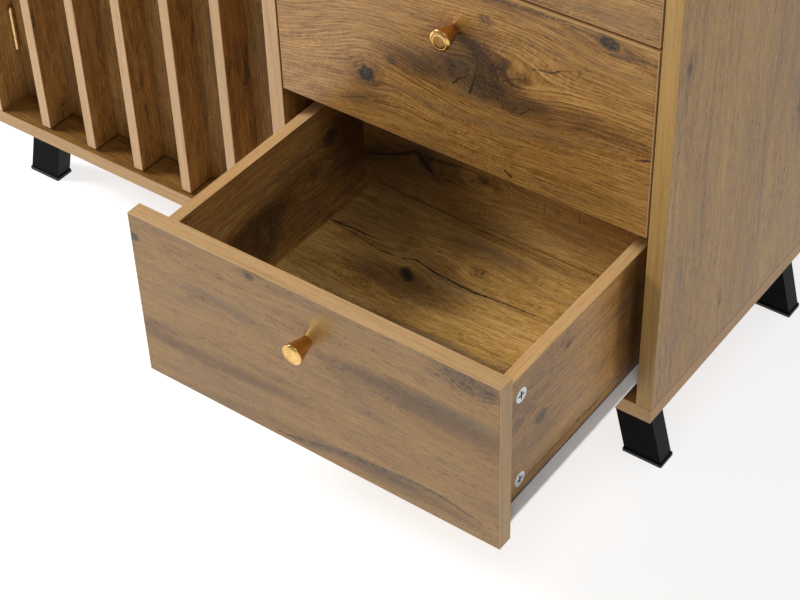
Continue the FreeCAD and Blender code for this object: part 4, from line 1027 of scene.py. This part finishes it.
def knob_profile():
    p = [(0.0, 10.9), (2.05, 11.0), (2.05, 0.35), (2.4, 0.0), (KNOB_R_BASE - 0.45, 0.0)]
    p += arc(KNOB_R_BASE - 0.35, 0.35, 0.35, -90, 0, 4)[1:]
    p += [(KNOB_R_BASE + 0.02, 0.7)]
    for i in range(1, 9):
        k = i / 8
        p.append((KNOB_R_BASE + 0.05 + (KNOB_R_FACE - KNOB_R_BASE - 0.1) * k, 0.7 + (KNOB_L - 2.4 - 0.7) * k))
    p += arc(KNOB_R_FACE - 0.75, KNOB_L - 1.6, 0.72, -5, 62, 7)[1:]
    p += [(KNOB_R_FACE - 1.15, KNOB_L - 0.62), (KNOB_R_FACE - 1.95, KNOB_L - 0.12)]
    p += [(KNOB_R_FACE - 2.15, KNOB_L - 0.02), (KNOB_R_FACE - 2.35, KNOB_L)]
    p += [(KNOB_R_FACE - 2.9, KNOB_L), (KNOB_R_FACE - 3.0, KNOB_L - 0.06), (KNOB_R_FACE - 3.1, KNOB_L - 0.2),
          (KNOB_R_FACE - 3.22, KNOB_L - 0.2), (KNOB_R_FACE - 3.32, KNOB_L - 0.06), (KNOB_R_FACE - 3.42, KNOB_L - 0.02)]
    p += [(5.0, KNOB_L - 0.03), (2.5, KNOB_L - 0.05), (0.0, KNOB_L - 0.06)]
    return p


for k, nm in enumerate(("lower", "middle", "upper")):
    node = "drawer_%s_knob" % nm
    lo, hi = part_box(node)
    c = ((lo[0] + hi[0]) / 2, hi[1], (lo[2] + hi[2]) / 2)
    knob = lathe("knob_" + nm, knob_profile(), c)
    knob.data.materials.append(turned_brass("brass_knob_" + nm, c[0] * 1000, c[2] * 1000, lo[1] * 1000))
    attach(knob, "drawer_" + nm)
    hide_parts(node)

# ---- metal, plastic and fittings -----------------------------------------------------------------
leg_mat = coated("leg_black", (0.0055, 0.0055, 0.0056), rough=0.48, grain=2.6, bump=0.55, depth=0.00009, spec=0.10, spread=0.3, front=0.025)
cap_mat = coated("cap_plastic", (0.0065, 0.0065, 0.0068), rough=0.5, grain=3.4, bump=0.4, spec=0.4)
runner_mat = coated("runner_enamel", lin((244, 246, 249)), rough=0.30, grain=1.2, bump=0.25, depth=0.00004, spec=0.5, spread=0.05)
roller_mat = coated("roller_nylon", (0.78, 0.77, 0.73), rough=0.42, grain=1.5, bump=0.2, spec=0.45, spread=0.05)
catch_mat = coated("catch_plastic", lin((150, 118, 84)), rough=0.5, grain=2.8, bump=0.4, spec=0.4, spread=0.1)
zinc_mat = metal("fitting_zinc", (0.62, 0.64, 0.66), rough=0.34, vary=0.07, scale=0.8, wear=(0.42, 0.43, 0.44))
steel_mat = metal("bright_steel", (0.66, 0.65, 0.61), rough=0.28, vary=0.06, scale=0.9)
hinge_mat = metal("hinge_brass", (0.72, 0.50, 0.23), rough=0.3, vary=0.07, scale=0.5, wear=(0.5, 0.34, 0.16))
BY_SLOT = {"leg_black": leg_mat, "cap_plastic": cap_mat, "runner_enamel": runner_mat, "roller_nylon": roller_mat,
           "catch_plastic": catch_mat, "fitting_zinc": zinc_mat, "bright_steel": steel_mat, "hinge_brass": hinge_mat}


def beech():
    mat, net, sh = material("dowel_beech")
    p, nrm = where(net)
    n1 = net.noise(net.vec("MULTIPLY", p, (0.8, 0.8, 0.05)), 3.0, 0.6)
    n2 = net.noise(net.vec("MULTIPLY", p, (3.0, 3.0, 0.4)), 2.0, 0.6)
    net.put(sh.inputs["Base Color"], net.ramp(net.mad(net.sub(n2, 0.5), 0.4, n1), [(0.3, lin((176, 134, 92))), (0.55, lin((206, 168, 122))), (0.8, lin((222, 190, 148)))]))
    net.put(sh.inputs["Roughness"], net.mad(n1, 0.2, 0.5))
    net.put(sh.inputs["Normal"], net.bump(n2, 0.00008, 0.6))
    return mat


BY_SLOT["dowel_beech"] = beech()
for node, slot in SLOT.items():
    if slot in BY_SLOT:
        dress(node, BY_SLOT[slot])
for node in ("leg_front_left", "leg_front_right", "leg_rear_left", "leg_rear_right"):
    soften(node, 0.0009, 3)
soften("foot_caps", 0.0004, 2)

# ---- floor, light and camera ---------------------------------------------------------------------
bm = bmesh.new()
S = 30.0
bm.faces.new([bm.verts.new(q) for q in ((-S, -S, 0), (S, -S, 0), (S, S, 0), (-S, S, 0))])
fm = bpy.data.meshes.new("floor")
bm.to_mesh(fm)
bm.free()
floor = bpy.data.objects.new("floor", fm)
bpy.context.scene.collection.objects.link(floor)
mat, net, sh = material("pale_floor")
p, nrm = where(net)
net.put(sh.inputs["Base Color"], net.ramp(net.noise(net.vec("SCALE", p, scale=0.004), 3.0), [(0.35, (0.43, 0.43, 0.43)), (0.65, (0.47, 0.47, 0.47))]))
sh.inputs["Roughness"].default_value = 0.8
sh.inputs["Emission Color"].default_value = (1.0, 1.0, 1.0, 1.0)
sh.inputs["Emission Strength"].default_value = 0.75
fm.materials.append(mat)
floor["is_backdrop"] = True

scene = bpy.context.scene
world = bpy.data.worlds.new("studio")
scene.world = world
world.use_nodes = True
wn = Net(world.node_tree)
bg = world.node_tree.nodes["Background"]
tc = wn.node("ShaderNodeTexCoord")
high = wn.step(wn.split(tc.outputs["Generated"])[2], -0.2, 1.0)
wn.put(bg.inputs["Color"], wn.ramp(high, [(0.0, (1.0, 1.0, 1.0)), (1.0, (0.80, 0.80, 0.80))]))
bg.inputs["Strength"].default_value = 0.29


def area(name, at, to, size, power, colour=(1, 1, 1), size_y=None):
    l = bpy.data.lights.new(name, "AREA")
    l.shape = "RECTANGLE"
    l.size = size
    l.size_y = size_y or size
    l.energy = power
    l.color = colour
    o = bpy.data.objects.new(name, l)
    scene.collection.objects.link(o)
    o.location = at
    o.rotation_mode = "QUATERNION"
    o.rotation_quaternion = (Vector(to) - Vector(at)).to_track_quat("-Z", "Y")
    return o


TARGET = Vector((0.2, -0.15, 0.35))
area("key", TARGET + Vector((-0.797, -0.302, 0.522)) * 3.2, TARGET, 0.9, 89)
area("over_camera", (1.0, -1.2, 2.6), (0.2, -0.2, 0.3), 1.2, 15)

scene.view_settings.view_transform = "Standard"
scene.view_settings.look = "None"
scene.view_settings.exposure = 0.0

cam = bpy.data.cameras.new("camera")
cam.lens = 1917.91 / 800 * 36
cam.sensor_width = 36.0
cam.sensor_fit = "HORIZONTAL"
cam.clip_start, cam.clip_end = 0.05, 60.0
camera = bpy.data.objects.new("camera", cam)
scene.collection.objects.link(camera)
right = Vector((0.80717923, 0.58967923, -0.0272048))
up = Vector((-0.37420613, 0.54678494, 0.74899666))
back = Vector((0.45654295, -0.59439434, 0.66201503))
camera.matrix_world = Matrix(((right[0], up[0], back[0], 0.98203), (right[1], up[1], back[1], -1.15621), (right[2], up[2], back[2], 1.32531), (0, 0, 0, 1)))
scene.camera = camera

lo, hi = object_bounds()
